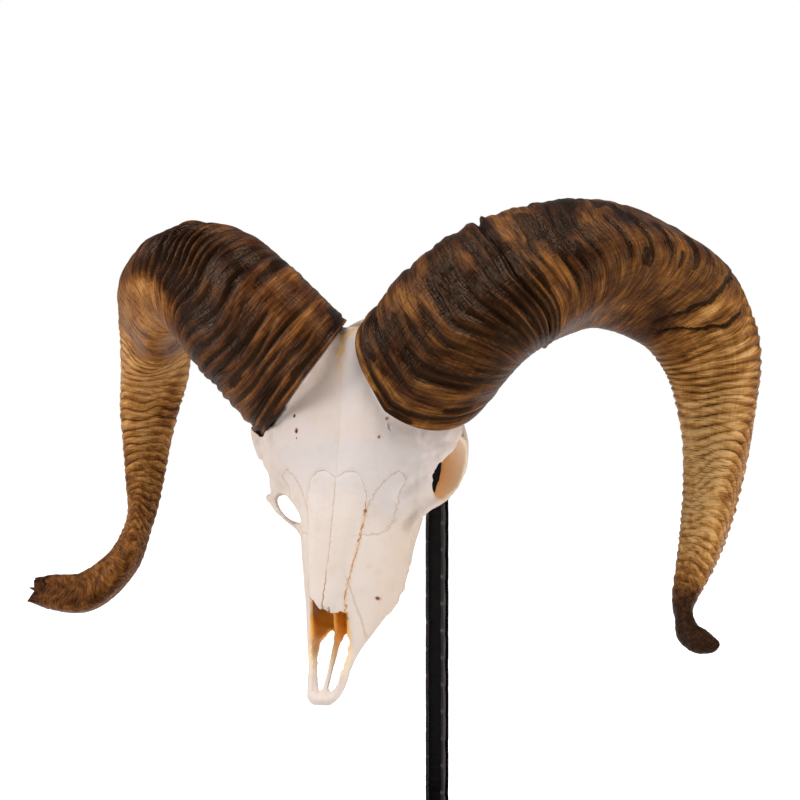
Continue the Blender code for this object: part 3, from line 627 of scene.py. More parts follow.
def makeHorn(name, finish, ridgeTree):
    horn = horns[name]
    last = len(horn["stations"]) - 1
    sides, inner = hornMake["sides"], hornMake["hollowRings"]
    grid = hornSurface(horn, 0, last, hornMake["rings"], sides)
    height, growth, groove, tone, ridge = hornRelief(horn, grid)
    points, turn, toEnd = grid["points"], grid["around"], last - grid["place"]
    middle = points.mean(1, keepdims=True)
    # the tip is rounded over, or broken off where the horn is splintered
    if horn["splintered"]:
        jag = 3.2 * softNoise(turn * 3.2, toEnd * 0 + 5, 77) + 1.2 * softNoise(turn * 9, toEnd * 0, 78)
        run = np.gradient(middle, axis=0)
        run /= np.linalg.norm(run, axis=2)[:, :, None]
        points = points + run * (jag * smoothstep(-toEnd, -0.6, 0.0))[:, :, None]
    else:
        rounding = np.sqrt(np.clip(1 - (1 - np.clip(toEnd / 0.3, 0, 1)) ** 2, 0.02, 1))
        points = middle + (points - middle) * rounding[:, :, None]
    out = gridNormals(points)
    if ((points - points.mean(1, keepdims=True)) * out).sum() < 0:
        out = -out
    points = points + out * height[:, :, None]
    made = skinFrom(name, [points[::-1], hollowRings(horn, 0.0, inner, sides)])
    values = {
        "growth": growth, "groove": groove, "ridge": ridge, "tone": tone,
        "turnX": np.cos(turn), "turnY": np.sin(turn), "outside": np.ones_like(turn),
    }
    for key, value in values.items():
        filled = np.concatenate([value[::-1].ravel(), np.zeros(inner * sides + 2)])
        filled[-2] = value[-1].mean()  # the middle of the tip
        storeValue(made.data, key, filled)
    bm = bmesh.new()
    bm.from_mesh(made.data)
    bmesh.ops.recalc_face_normals(bm, faces=bm.faces)
    bm.to_mesh(made.data)
    bm.free()
    lines = made.modifiers.new("fine growth", "NODES")
    lines.node_group = ridgeTree
    lines[socketId(ridgeTree, "Finish")] = finish
    lines[socketId(ridgeTree, "Line height")] = hornMake["lineHeight"]
    bakeModifiers(made)
    made.data.shade_smooth()
    return made


# Each horn's colours from the darkest to the palest
hornTones = {
    "horn_left": ("#190c06", "#331a0c", "#5a361a", "#8a5827", "#b98346", "#dfb072"),
    "horn_right": ("#190c06", "#34190b", "#5c3418", "#885426", "#b67d40", "#d9a468"),
}


# Weathered horn: keratin with brown growth bands, paler on the ridges (wear and painted highlight)
# and darker in the grooves (dirt and painted shade)
def hornMaterial(name, tones):
    made, tree, shader, spot = newMaterial(name)
    growth, tone, ridge, groove, turnX, turnY, outside = (
        attribute(tree, key) for key in ("growth", "tone", "ridge", "groove", "turnX", "turnY", "outside"))

    def bands(step, roundScale, detail):
        across = [times(tree, turn, roundScale) for turn in (turnX, turnY)]
        return noise(tree, xyz(tree, times(tree, growth, 1 / step), *across), 1.0, detail)

    def centred(value, amount):
        return times(tree, mathNode(tree, "SUBTRACT", value, 0.5), amount)

    broad, middle, fine = bands(11.0, 2.2, 3.0), bands(3.6, 2.6, 3.0), bands(1.1, 3.0, 2.0)
    fibre, cloud = bands(22.0, 26.0, 2.0), noise(tree, spot, 38.0, 4.0)
    waves = ((broad, 0.45), (middle, 0.62), (fine, 0.62), (fibre, 0.22), (cloud, 0.30))
    level = total(tree, tone, *(centred(*wave) for wave in waves))
    ramp = addNode(tree, "ShaderNodeValToRGB", {"Fac": mathNode(tree, "MAXIMUM", level, 0.0)})
    stops = ramp.color_ramp.elements
    stops[0].color, stops[1].color = srgb(tones[0]), srgb(tones[-1])
    for k in range(1, len(tones) - 1):
        stops.new(k / (len(tones) - 1)).color = srgb(tones[k])
    # darker in the grooves, cracks, wrinkles and rib troughs: partly dirt and partly painted shade
    dirtAndShade = mapRange(tree, total(tree, groove, centred(fine, 0.5)), 0.10, 0.6)
    # hairline steps in the growth that hold dirt
    hair = times(tree, mapRange(tree, bands(0.75, 2.0, 1.0), 0.30, 0.42, 1.0, 0.0),
                 mapRange(tree, cloud, 0.4, 0.6, 0.25, 0.75))
    dirtAndShade = mathNode(tree, "MAXIMUM", times(tree, dirtAndShade, 0.9), hair)
    colour = mixColour(tree, dirtAndShade, ramp.outputs[0], "#160904")
    inner = mixColour(tree, noise(tree, spot, 90.0, 3.0), "#2c1a10", "#5a3a22")
    relief = total(tree, times(tree, fine, 1.2), times(tree, fibre, 0.4),
                   times(tree, noise(tree, spot, 800.0, 2.0), 0.25), times(tree, middle, ridge, 0.9))
    fillSockets(tree, shader, {
        "Base Color": mixColour(tree, outside, inner, colour),
        "Roughness": mapRange(tree, middle, 0.3, 0.7, 0.24, 0.38),
        "IOR": 1.54, "Specular IOR Level": 0.19, "Specular Tint": srgb("#e4b080"),
        "Normal": bump(tree, relief, 0.9, 0.0011),
    })
    return made


# Skull forms

faceStations = (
    # ahead, then the half outline (side, above) from the dorsal midline round to the palate
    (146, (0, -13.5), (2.5, -13.5), (4.5, -13.8), (6, -14.5), (6.3, -15.5), (5.5, -16.5), (3.5, -17.2),
     (0, -16.8)),
    (141.5, (0, -12.5), (4.5, -12.5), (8, -13.3), (10.2, -14.8), (11, -16.5), (10.5, -18), (8, -19.5),
     (0, -18)),
    (134, (0, -13), (5, -13.3), (8.5, -14.5), (11, -16.5), (12.8, -19.5), (13, -21.5), (10.5, -23.5),
     (0, -21.5)),
    (120, (0, -15), (5.5, -15.5), (9.5, -17), (12.5, -19.5), (15, -23), (14.5, -26), (12, -28), (0, -26.5)),
    (108, (0, -12), (6, -12.5), (10.5, -15), (14.5, -19), (18.5, -26), (17.5, -30), (14.5, -33), (0, -31)),
    (96, (0, -6), (7, -7), (12, -12), (17, -20), (21.5, -30), (21.5, -37), (18.5, -42), (0, -37)),
    (84, (0, -0.5), (7, -2), (12.5, -8), (18, -18), (25, -33), (26, -43), (22, -51), (0, -43)),
    (70, (0, 0), (9, -1.5), (16, -8), (22, -20), (29.5, -38), (31.5, -50), (27, -60), (0, -50)),
    (50, (0, 1), (10.5, -0.5), (18, -7), (26, -21), (35, -41), (36, -56), (29, -68), (0, -58)),
    (30, (0, 1.5), (11.5, 0.5), (20, -6), (29, -19), (38.5, -40), (37, -56), (30, -74), (0, -65)),
    (19, (0, 1), (12, 0), (21.5, -6), (33, -16), (43.5, -29), (39.5, -54), (31, -79), (0, -67)),
    (7, (0, 0.5), (13, -0.5), (25, -5.5), (41, -15), (58, -31), (44, -54), (32, -82), (0, -70)),
    (-8, (0, 0), (14, 0.5), (28, -3), (46, -11), (61, -23), (46, -52), (34, -84), (0, -72)),
    (-26, (0, 1.5), (17, 2.5), (35, 0), (58, -9), (73, -23), (48, -42), (28, -72), (0, -76)),
    (-44, (0, 3), (20, 4), (42, 1), (64, -11), (75, -26), (42, -46), (28, -72), (0, -80)),
    (-64, (0, 4), (20, 4), (40, -2), (54, -16), (58, -32), (40, -52), (30, -74), (0, -84)),
    (-84, (0, 3), (16, 1), (34, -8), (46, -24), (46, -40), (40, -56), (30, -76), (0, -88)),
    (-100, (0, -2), (14, -4), (27, -14), (36, -30), (38, -44), (36, -58), (28, -76), (0, -88)),
    (-112, (0, -22), (12, -23), (22, -29), (29, -40), (32, -50), (30, -62), (24, -74), (0, -82)),
)
orbit = {
    "centre": (65, -15, -37), "long": 25.0, "tall": 19.5,
    "turn": math.radians(19),  # the opening looks this far forward of sideways
    "lean": math.radians(15),  # its lower edge stands out past its upper one
    "wall": 3.2, "narrows": 0.84, "deep": 12.0, "backDeeper": 5.0, "lowDeeper": 7.0,
}
# the plate before the right eye is broken through and leaves a thin arch
brokenPlate = {
    "centre": (-44, 15.8, -30), "long": 13.5, "wide": 4.9, "turn": math.radians(41), "slant": (0.35, 0.23),
    "depths": (8, -90),
}
nose = {
    # under the nasals, ahead then (side, above) round one half, from the vomer's top
    "passage": (
        (92, (8.5, -5), (11.5, -14), (16, -30), (17, -36), -38),
        (60, (10.5, -7), (17, -20), (26, -38), (26, -45), -47),
        (30, (13, -9), (23, -22), (29, -38), (25, -49), -51),
        (2, (9, -15), (17, -24), (19, -36), (13, -45), -47),
    ),
    # open above, ahead then the side walls' edge and their inside down to the floor
    "muzzle": (
        (88, (27, -15), (10.5, -10), (16, -30), (17, -36), -38),
        (93, (27, -21), (11, -14), (15.8, -30), (16.5, -35), -36.5),
        (99, (27, -24), (11.5, -16.5), (15.3, -29), (15.5, -32), -34.5),
        (108, (25, -26), (11.5, -19), (15.5, -25.5), (14.5, -28.5), -29.5),
        (120, (22, -24), (9.5, -19), (12, -22.5), (11.5, -24.5), -25.2),
        (132, (20, -20), (7.5, -16), (9, -19), (9, -20.5), -21),
        (140, (18, -16), (5, -13), (6, -14), (6, -15), -15.5),
    ),
    "vomerTop": ((70, -14), (84, -19), (98, -27), (112, -27.5), (126, -22), (140, -15.5)),
    "palateSlot": ((95, 5, 8), (103, 2.6, 12.5), (114, 2.6, 11.5), (126, 2.4, 8.5), (137, 2.4, 4.2)),
    "vomerHalf": 1.3,
    # how far the nasals' ends draw back at the side, as shares of tipBack; the left is slanted, the right
    # square
    "tipBack": 11,
    "slants": {1: (0, 0.45, 0.6, 0.6, 0.5, 0, 0, 0), -1: (0, 0.12, 0.9, 0.9, 1, 0, 0, 0)},
    "clear": 14,
}


def ringAt(forward, outline):
    return [skullPoint(side, forward, up) for side, up in outline]


def ball(name, centre, radii, turn=(0, 0, 0)):
    bm = bmesh.new()
    bmesh.ops.create_uvsphere(bm, u_segments=48, v_segments=32, radius=1.0)
    axes = Matrix((sideways, ahead, above)).transposed()
    spinX, spinY, spinZ = (Matrix.Rotation(math.radians(a), 3, axis) for a, axis in zip(turn, "XYZ"))
    shape = axes @ (spinZ @ spinY @ spinX) @ Matrix.Diagonal([r * mm for r in radii])
    bmesh.ops.transform(bm, matrix=Matrix.Translation(skullPoint(*centre)) @ shape.to_4x4(), verts=bm.verts)
    return objectFrom(bm, name)


def bar(name, stations, steps=40, sides=20):
    values = catmull([[*centre, wide, deep] for centre, wide, deep in stations], steps)
    centres = [skullPoint(*row[:3]) for row in values]
    turns = [2 * math.pi * s / sides for s in range(sides)]
    rings = []
    for k, (centre, (*_, halfWide, halfDeep)) in enumerate(zip(centres, values)):
        run = (centres[min(k + 1, steps - 1)] - centres[max(k - 1, 0)]).normalized()
        across = run.cross(above)
        if across.length < 0.2:
            across = run.cross(ahead)
        across.normalize()
        deep = across.cross(run)
        rings.append([centre + across * (math.cos(t) * halfWide * mm) + deep * (math.sin(t) * halfDeep * mm)
                      for t in turns])
    return loft(name, rings)


def mirrored(thing, name):
    bm = bmesh.new()
    bm.from_mesh(thing.data)
    bmesh.ops.scale(bm, vec=(-1, 1, 1), verts=bm.verts)
    bmesh.ops.reverse_faces(bm, faces=bm.faces)
    return objectFrom(bm, name)


def bothSides(made):
    return [made, mirrored(made, made.name + "_other")]


def faceBody():
    flat = [[forward] + [v for point in outline for v in point] for forward, *outline in faceStations]
    rings = []
    for row in catmull(flat, 70):
        half = np.array(row[1:]).reshape(-1, 2)
        closed = np.vstack([half, half[-2:0:-1] * (-1, 1)])
        closed = catmull(np.vstack([closed, closed[:1]]), 97)[:-1]
        rings.append(ringAt(row[0], closed))
    return loft("face_body", rings)


def orbitTube():
    level = Vector((math.cos(orbit["turn"]), math.sin(orbit["turn"]), 0))
    front = Vector((-level.y, level.x, 0))
    out = level * math.cos(orbit["lean"]) + Vector((0, 0, math.sin(orbit["lean"])))
    top = Vector((0, 0, math.cos(orbit["lean"]))) - level * math.sin(orbit["lean"])
    centre = Vector(orbit["centre"])
    bm = bmesh.new()
    rows = []
    for turn in np.linspace(0, 2 * math.pi, 48, endpoint=False):
        reach = front * (orbit["long"] * math.cos(turn)) + top * (orbit["tall"] * math.sin(turn))
        deep = orbit["deep"] - orbit["backDeeper"] * math.cos(turn) - orbit["lowDeeper"] * math.sin(turn)
        wall = reach.normalized() * orbit["wall"]
        rim, inner = centre + reach, centre - out * deep + reach * orbit["narrows"]
        ring = (rim, rim - wall, inner - wall / 2, inner + wall / 2)
        rows.append([bm.verts.new(skullPoint(*p)) for p in ring])
    bridge(bm, rows + rows[:1])
    return objectFrom(bm, "orbit_tube")


def plateBreak():
    turn, slant = brokenPlate["turn"], brokenPlate["slant"]
    along = Vector((math.cos(turn), math.sin(turn), 0)) * brokenPlate["long"]
    across = Vector((-math.sin(turn), math.cos(turn), 0)) * brokenPlate["wide"]
    rings = []
    for up in brokenPlate["depths"]:
        shift = up - brokenPlate["centre"][2]
        centre = Vector(brokenPlate["centre"]) + Vector((slant[0] * shift, slant[1] * shift, shift))
        rings.append([skullPoint(*(centre + along * math.cos(t) + across * math.sin(t)))
                      for t in np.linspace(0, 2 * math.pi, 40, endpoint=False)])
    return loft("plate_break", rings)


def hornCore(horn):
    reach, wall = hornMake["coreReach"] - 0.05, hornMake["wall"] - 0.5
    rings = hornSurface(horn, 0, reach, 20, 48, -wall, 0)["points"]
    rings = drawnIn(rings, hornMake["coreTaper"]) * mm
    root = skullPoint(math.copysign(22, horn["stations"][0][0][0]), -62, -34)
    foot = [root + (Vector(p) - root) * 0.45 for p in rings[0]]
    return loft("core", [foot] + [[Vector(p) for p in ring] for ring in rings])


# Bars of the skull, as stations of centre, half width and half depth (mm)
skullBars = {
    "nuchal_crest": (((-33, -104, -66), 3, 3), ((-24, -116, -50), 3.5, 4), ((0, -121, -42), 4, 6),
                     ((24, -116, -50), 3.5, 4), ((33, -104, -66), 3, 3)),
    "skull_base": (((0, -20, -84), 8, 6), ((0, -60, -94), 10, 7), ((0, -88, -102), 14, 9),
                   ((0, -104, -104), 13, 8)),
    "jugular_process": (((33, -98, -84), 6, 8), ((35, -97, -104), 3.5, 6), ((33, -92, -122), 1.8, 3)),
    "cheek_rim": (((36.5, 34, -48), 2.2, 3), ((40.5, 26.5, -39), 2.2, 2.6), ((46, 22, -30), 2.2, 2.6),
                  ((54, 14.5, -28), 2.2, 2.6), ((62.5, 6.5, -34), 2.4, 3), ((67, -3, -43), 2.4, 3.4),
                  ((67, -12, -51), 2.6, 4), ((68, -24, -56), 2.8, 5), ((67, -38, -59), 2.8, 5),
                  ((62, -54, -62), 2.4, 4), ((52, -69, -66), 3, 4), ((40, -80, -68), 5, 5)),
    "pterygoid": (((13, -6, -84), 2, 8), ((12, -26, -90), 1.8, 9), ((12, -44, -98), 1.6, 7),
                  ((13, -60, -96), 2, 5)),
}


def skullForms():
    forms = [faceBody(), ball("braincase", (0, -84, -52), (38, 33, 42)),
             ball("occiput", (0, -100, -72), (37, 22, 26), (25, 0, 0))]
    forms += [bar(name, skullBars[name]) for name in ("nuchal_crest", "skull_base")]
    paired = [ball("condyle", (13.5, -110, -97), (8.5, 12, 11), (30, 0, 0)),
              ball("ear_bulb", (24, -82, -96), (8, 13, 10), (15, 0, 0)),
              bar("jugular_process", skullBars["jugular_process"]), orbitTube(),
              bar("cheek_rim", skullBars["cheek_rim"], 72), bar("pterygoid", skullBars["pterygoid"])]
    for form in paired:
        forms += bothSides(form)
    return forms


def noseTools():
    half, clear, back = nose["vomerHalf"], nose["clear"], nose["tipBack"]
    passage, crest, slot = [], [], []
    for forward, *walls, floor in nose["passage"]:
        passage.append(ringAt(forward, [(half, walls[0][1] + 0.5), *walls, (half, floor)]))
    for forward, top in nose["vomerTop"]:
        high = clear - 2 if forward > nose["muzzle"][1][0] else -6
        crest.append(ringAt(forward, ((-3, top), (3, top), (3, high), (-3, high))))
    for forward, near, far in nose["palateSlot"]:
        slot.append(ringAt(forward, ((near, -60), (far, -60), (far, -16), (near, -16))))
    tools = [loft("vomer_crest", crest)]
    for name, rings in (("passage", passage), ("palate_slot", slot)):
        tools += bothSides(loft(name, rings))
    for hand, slant in nose["slants"].items():
        muzzle = []
        for forward, *walls, floor in nose["muzzle"]:
            outline = [(half, clear), (12, clear), (27, clear), *walls, (half, floor)]
            shares = slant if forward == nose["muzzle"][0][0] else (0,) * len(outline)
            muzzle.append([skullPoint(side * hand, forward - back * share, up)
                           for (side, up), share in zip(outline, shares)])
        tools.append(loft("muzzle", muzzle))
    return tools


def hollowTools():
    tools = {"orbit": bothSides(ball("orbit_hollow", (66, -15, -37), (38, 21.5, 16.5), (0, -15, 19))),
             "nose": noseTools()}
    plain = bothSides(ball("temple_hollow", (62, -70, -46), (24, 19, 28)))
    plain += [plateBreak(), ball("foramen", (0, -112, -88), (11, 32, 10), (40, 0, 0)),
              ball("throat", (0, -24, -88), (9, 26, 9), (14, 0, 0))]
    plain += bothSides(ball("cheek_hollow", (30.5, 73, -33), (4, 8, 4), (0, 0, 20)))
    tools["plain"] = plain
    return tools


# Small openings in the bone: place (side, ahead, above), radii (mm), turn and how brown they are stained
smallHoles = (
    # vessels over the eyes
    ((-30.9, -31.2, 1), (1.0, 1.9, 3), 8, 0.95), ((-33.3, -41.3, 2), (0.9, 1.2, 3), 0, 0.9),
    ((-30.6, -26.3, 1), (0.6, 0.7, 3), 0, 0.6), ((34.6, -33.5, 1.6), (0.8, 3.6, 2), -22, 0.2),
    ((32.5, -39.8, 2), (0.8, 0.9, 2.5), 0, 0.3), ((27.9, -27.6, 1.6), (0.7, 0.9, 2.5), 0, 0.55),
    # the pit where nasal, frontal and tear bone meet
    ((20.8, 20.3, -5), (0.9, 1.4, 2.5), 20, 0.7), ((21.8, 23.6, -6), (0.6, 0.7, 2), 0, 0.5),
    # worn pores beside the right horn's rim
    ((-26.5, -71.5, 1), (0.6, 1.0, 2), 0, 0.7), ((-28.2, -67.4, 1), (0.6, 0.6, 2), 0, 0.7),
    ((-27.4, -63.6, 1), (0.5, 0.9, 2), 0, 0.7), ((-30.2, -59.6, 1), (1.1, 0.6, 2), 20, 0.8),
    ((-28.2, -56.6, 2), (0.6, 0.6, 2), 0, 0.6), ((-32.2, -55.2, 1), (0.9, 0.7, 2), 0, 0.8),
    ((-34.8, -51.0, 1), (0.7, 0.5, 2), 0, 0.7), ((-20.5, -90.6, -2), (0.6, 1.3, 2), 0, 0.5),
    ((-22.6, -84.6, -1), (0.5, 0.9, 2), 0, 0.5), ((-24.6, -79.4, 0), (0.5, 0.7, 2), 0, 0.5),
    ((25.6, 73.2, -31), (3, 1.1, 2.4), 20, 0.75), ((-25.6, 73.2, -31), (3, 1.1, 2.4), -20, 0.75),
    # notches between the lobes of the nasals' tips
    ((-7.8, 88, -3), (0.7, 3.2, 6), 0, 0), ((-0.4, 88, -3), (0.8, 4.5, 6), 0, 0),
    ((3.9, 87, -3), (0.7, 2.8, 6), 0, 0), ((-10.8, 87, -5), (0.5, 2.0, 5), 0, 0),
)


teeth = {
    "sizes": ((9, 7), (10, 9), (10.5, 10.5), (14, 12), (17, 13), (19, 12)),  # length along the row, width
    "front": (18.5, 80, -49), "back": (25.5, 0, -83), "out": 5.0, "in": 5.0, "gap": 0.4,
}


def toothFrame():
    front, back = skullPoint(*teeth["front"]), skullPoint(*teeth["back"])
    run = (back - front).normalized()
    down = run.cross(sideways).normalized()
    if down.dot(above) > 0:
        down.negate()
    return front, run, down


def toothStart(k):
    return sum(length for length, _ in teeth["sizes"][:k]) + k * teeth["gap"]


def toothTrough(side):
    front, run, down = toothFrame()
    gap, last = teeth["gap"], len(teeth["sizes"]) - 1
    low, high = -teeth["in"] - gap, teeth["out"] * 2
    rings = []
    for k, (length, width) in enumerate(teeth["sizes"]):
        start = toothStart(k) - gap / 4 - (gap if k == 0 else 0)
        end = toothStart(k) + length + (gap / 4 if k < last else gap)
        reach = width / 2 + gap
        for place in (start, end):
            centre = front + run * (place * mm)
            ring = [centre + (sideways * x * reach + down * y) * mm
                    for x, y in ((-1, low), (1, low), (1, high), (-1, high))]
            rings.append([Vector((p.x * side, p.y, p.z)) for p in ring])
    return loft("trough", rings)


def makeTooth(side, k, finish):
    # a cheek tooth: a rounded block whose worn crown rises in crescents
    front, run, down = toothFrame()
    length, width = teeth["sizes"][k]
    word = "left" if side > 0 else "right"
    start = toothStart(k)
    bm = bmesh.new()
    bmesh.ops.create_cube(bm, size=2.0)
    bmesh.ops.subdivide_edges(bm, edges=bm.edges[:], cuts=15, use_grid_fill=True)
    for vert in bm.verts:
        x, y, z = vert.co
        corner = (1 - 0.10 * y * y) * (1 - 0.05 * max(z, 0))
        waist = 1 - 0.10 * bell(np.array(y), 0, 0.2) * (1 - 0.5 * abs(x)) if k > 2 else 1 - 0.02 * abs(z)
        crown = smoothstep(np.array(z), 0.55, 1.0)
        crescents = math.cos(2 * math.pi * x) * 0.5 + math.cos(math.pi * y * (2 if k > 2 else 1)) * 0.5
        out = z * (teeth["out"] if z > 0 else teeth["in"]) + float(crown) * (0.9 * crescents - 1.1)
        spot = front + run * ((start + length / 2 + y * length / 2 * (1 - 0.06 * x * x)) * mm)
        spot = spot + (sideways * (x * width / 2 * corner * float(waist)) + down * out) * mm
        vert.co = Vector((spot.x * side, spot.y, spot.z))
    made = objectFrom(bm, f"tooth_{word}_{k + 1}_crown")
    made.data.materials.append(finish)
    made.data.shade_smooth()
    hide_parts(f"tooth_{word}_{k + 1}")
    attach(made, "root")


def keepLargest(thing):
    bm = bmesh.new()
    bm.from_mesh(thing.data)
    left = set(bm.verts)
    groups = []
    while left:
        start = left.pop()
        group, edge = {start}, [start]
        while edge:
            vert = edge.pop()
            for link in vert.link_edges:
                other = link.other_vert(vert)
                if other in left:
                    left.remove(other)
                    group.add(other)
                    edge.append(other)
        groups.append(group)
    groups.sort(key=len, reverse=True)
    for group in groups[1:]:
        bmesh.ops.delete(bm, geom=list(group), context="VERTS")
    bm.to_mesh(thing.data)
    bm.free()


# Sutures on the upper side, as a (side, ahead) run and the depth of its groove (mm); each becomes a signed
# distance that the bone's finish reads
sutures = {
    "middle": (((0, -112), (-2.5, -99), (-3, -72), (-1, -50), (0, -31), (0, 0), (0.8, 25), (1.0, 48),
               (0.2, 70),
                (-0.6, 90)), 0.16),
    "nasal": (((12.6, 90), (12.9, 75), (15.1, 62), (17.6, 46), (19.6, 33), (20.8, 20), (21.0, 10), (18.4, 1),
               (13, -4.4), (8, -4.6), (4.2, -2.7), (0, 0.4)), 0.32),
    "tear": (((20.8, 20), (24, 12), (28, 4), (34, -3), (40, -7), (45, -4), (41, 6), (38, 14), (35, 23),
             (28, 33),
              (20, 36)), 0.14),
    "jaw": (((13.5, 66), (15.8, 73), (17.2, 80), (19.7, 92), (21, 100)), 0.2),
}


def signedDistance(places, path):
    # to the nearest stretch of the path, positive on its left
    best = np.full(len(places), 1e9)
    signed = np.zeros(len(places))
    for start, end in zip(np.array(path[:-1], float), np.array(path[1:], float)):
        run = end - start
        share = np.clip(((places - start) @ run) / (run @ run), 0, 1)
        gap = places - (start + share[:, None] * run)
        size = np.hypot(gap[:, 0], gap[:, 1])
        turn = run[0] * (places[:, 1] - start[1]) - run[1] * (places[:, 0] - start[0])
        closer = size < best
        best[closer] = size[closer]
        signed[closer] = (np.sign(turn) * size)[closer]
    return signed


def treeOf(things):
    corners, faces = [], []
    for thing in things:
        base = len(corners)
        corners += [v.co.copy() for v in thing.data.vertices]
        faces += [[base + k for k in face.vertices] for face in thing.data.polygons]
    return BVHTree.FromPolygons(corners, faces)


def nearness(tree, points, full, none):
    # 1 on the surface of a cutter and 0 where the bone is further than none from it (mm)
    gaps = [tree.find_nearest(Vector(p), none * mm)[3] for p in points]
    gaps = np.array([none * mm if gap is None else gap for gap in gaps])
    return 1 - smoothstep(gaps / mm, full, none)


def cloudNoise(points, size, seed):
    x, y, z = (points / (size * mm)).T + 200
    return (softNoise(x, y, seed) + softNoise(y + 31, z, seed + 1) + softNoise(z, x + 17, seed + 2)) / 1.8


def holeTool(spots):
    made = []
    for (side, forward, up), (wide, long, deep), turn, _ in spots:
        made.append(ball("hole", (side, forward, up + 0.35 * deep), (wide, long, deep * 0.8), (0, 0, turn)))
    return joinMeshes(made, "holes")


def boneRelief(points, away, forward, up, rough):
    # height in mm off the plain bone: ragged brows and tooth-bearing border, ridges before the eyes, and low
    # unevenness, roughest near the horns
    brow = smoothstep(away, 44, 54) * smoothstep(up, -36, -22) * smoothstep(forward, -60, -45)
    ragged = brow * (1.1 * cloudNoise(points, 5.5, 331) + 0.5 * cloudNoise(points, 2.6, 341))
    border = smoothstep(-up, 44, 50) * between(forward, 36, 48, 86, 96) * smoothstep(away, 22, 27)
    ragged += border * (1.2 * cloudNoise(points, 4.2, 361) + 0.5 * cloudNoise(points, 2.2, 371))
    dip = bell(away, 43, 7) * bell(forward, 4, 9)
    ridges = np.sin((0.55 * away + 0.8 * forward) * 0.9 + 1.5 * cloudNoise(points, 12, 351))
    relief = ragged - 2.4 * dip + 0.6 * ridges * bell(away, 46, 8) * bell(forward, 6, 11)
    relief = relief + 0.35 * cloudNoise(points, 14, 301) + 0.16 * cloudNoise(points, 5, 311)
    return relief + 0.35 * rough * cloudNoise(points, 3.2, 321)


def dressBone(mesh, hollows, rims):
    count = len(mesh.vertices)
    points = readVectors(mesh.vertices, count, "co")
    normals = readVectors(mesh.vertex_normals, count, "vector")
    place = skullCoordinates(points)
    side, forward, up = place.T
    away = np.abs(side)
    rough = bell(np.array([rims.find(Vector(p))[2] for p in points]) / mm, 0, 9)
    relief = boneRelief(points, away, forward, up, rough)
    top = smoothstep(normals @ np.array(above), 0.1, 0.5) * smoothstep(up, -34, -22)
    for name, (path, depth) in sutures.items():
        gap = signedDistance(np.stack([side if name == "middle" else away, forward], 1), path)
        storeValue(mesh, "suture_" + name, np.clip(gap, -30, 30))
        relief -= depth * bell(gap, 0, 1.3) * top
    moved = points + normals * (relief * mm)[:, None]
    mesh.vertices.foreach_set("co", moved.astype(np.float32).ravel())
    mesh.update()
    for name, tree in hollows.items():
        inside = nearness(tree, points, 0.4, 1.2)
        if name == "nose":
            # the cut edges of the nasals and the outer shelf beside them stay pale
            inside = inside * smoothstep(-up, 4, 9) * smoothstep(10.5 - 0.25 * up - away, 0, 1.5)
        storeValue(mesh, "in_" + name, inside)
    stain = np.zeros(count)
    for spot, radii, _, brown in smallHoles:
        gap = np.linalg.norm((place[:, :2] - np.array(spot[:2])) / (np.array(radii[:2]) + 0.6), axis=1)
        stain = np.maximum(stain, brown * bell(gap, 0, 1.0) * bell(up, spot[2], 6))
    for name, values in (("top", top), ("rim", rough), ("stain", stain)):
        storeValue(mesh, name, values)


def rimPoints():
    spots = np.vstack([hornSurface(horn, 0, 0.01, 2, 180)["points"][0] * mm for horn in horns.values()])
    tree = kdtree.KDTree(len(spots))
    for k, spot in enumerate(spots):
        tree.insert(spot, k)
    tree.balance()
    return tree


def makeSkull(finish):
    cores = [hornCore(horn) for horn in horns.values()]
    made = joinMeshes(skullForms() + cores, "skull_bone")
    voxelSkin(made, skull["voxel"], skull["smoothTurns"])
    tools = hollowTools()
    hollows = {name: treeOf(tools[name]) for name in ("orbit", "nose")}
    for tool in tools["orbit"] + tools["nose"] + tools["plain"]:
        cutOut(made, tool)
    voxelSkin(made, skull["voxel"] * 0.9, 2)
    gap = skull["coreGap"]
    for horn in horns.values():
        outside = hornSurface(horn, 0, len(horn["stations"]) - 1, 160, 64, gap, gap)["points"]
        cutOut(made, skinFrom("room", [outside[::-1], hollowRings(horn, gap, 12, 64)]), "EXACT")
    for side in (1, -1):
        cutOut(made, toothTrough(side), "EXACT")
    cutOut(made, holeTool(smallHoles), "EXACT")
    keepLargest(made)
    mesh = made.data
    dressBone(mesh, hollows, rimPoints())
    print("skull vertices", len(mesh.vertices))
    mesh.materials.clear()
    mesh.materials.append(finish)
    mesh.shade_smooth()
    return made


# Bleached bone: dry and matte, cream where grease stays, tan inside the hollows, with fine sutures and pores
boneLook = {
    "pale": "#d7cbc6", "warm": "#dbc7b9", "chalk": "#e1d2c7", "grease": "#dfb062",
    "suture": "#b9782f", "faintSuture": "#cdb08c", "hole": "#a0501c",
    "orbit": "#e8bc8a", "orbitEdge": "#f4e2c8", "nose": "#fbb040", "noseLow": "#f4dab2",
}


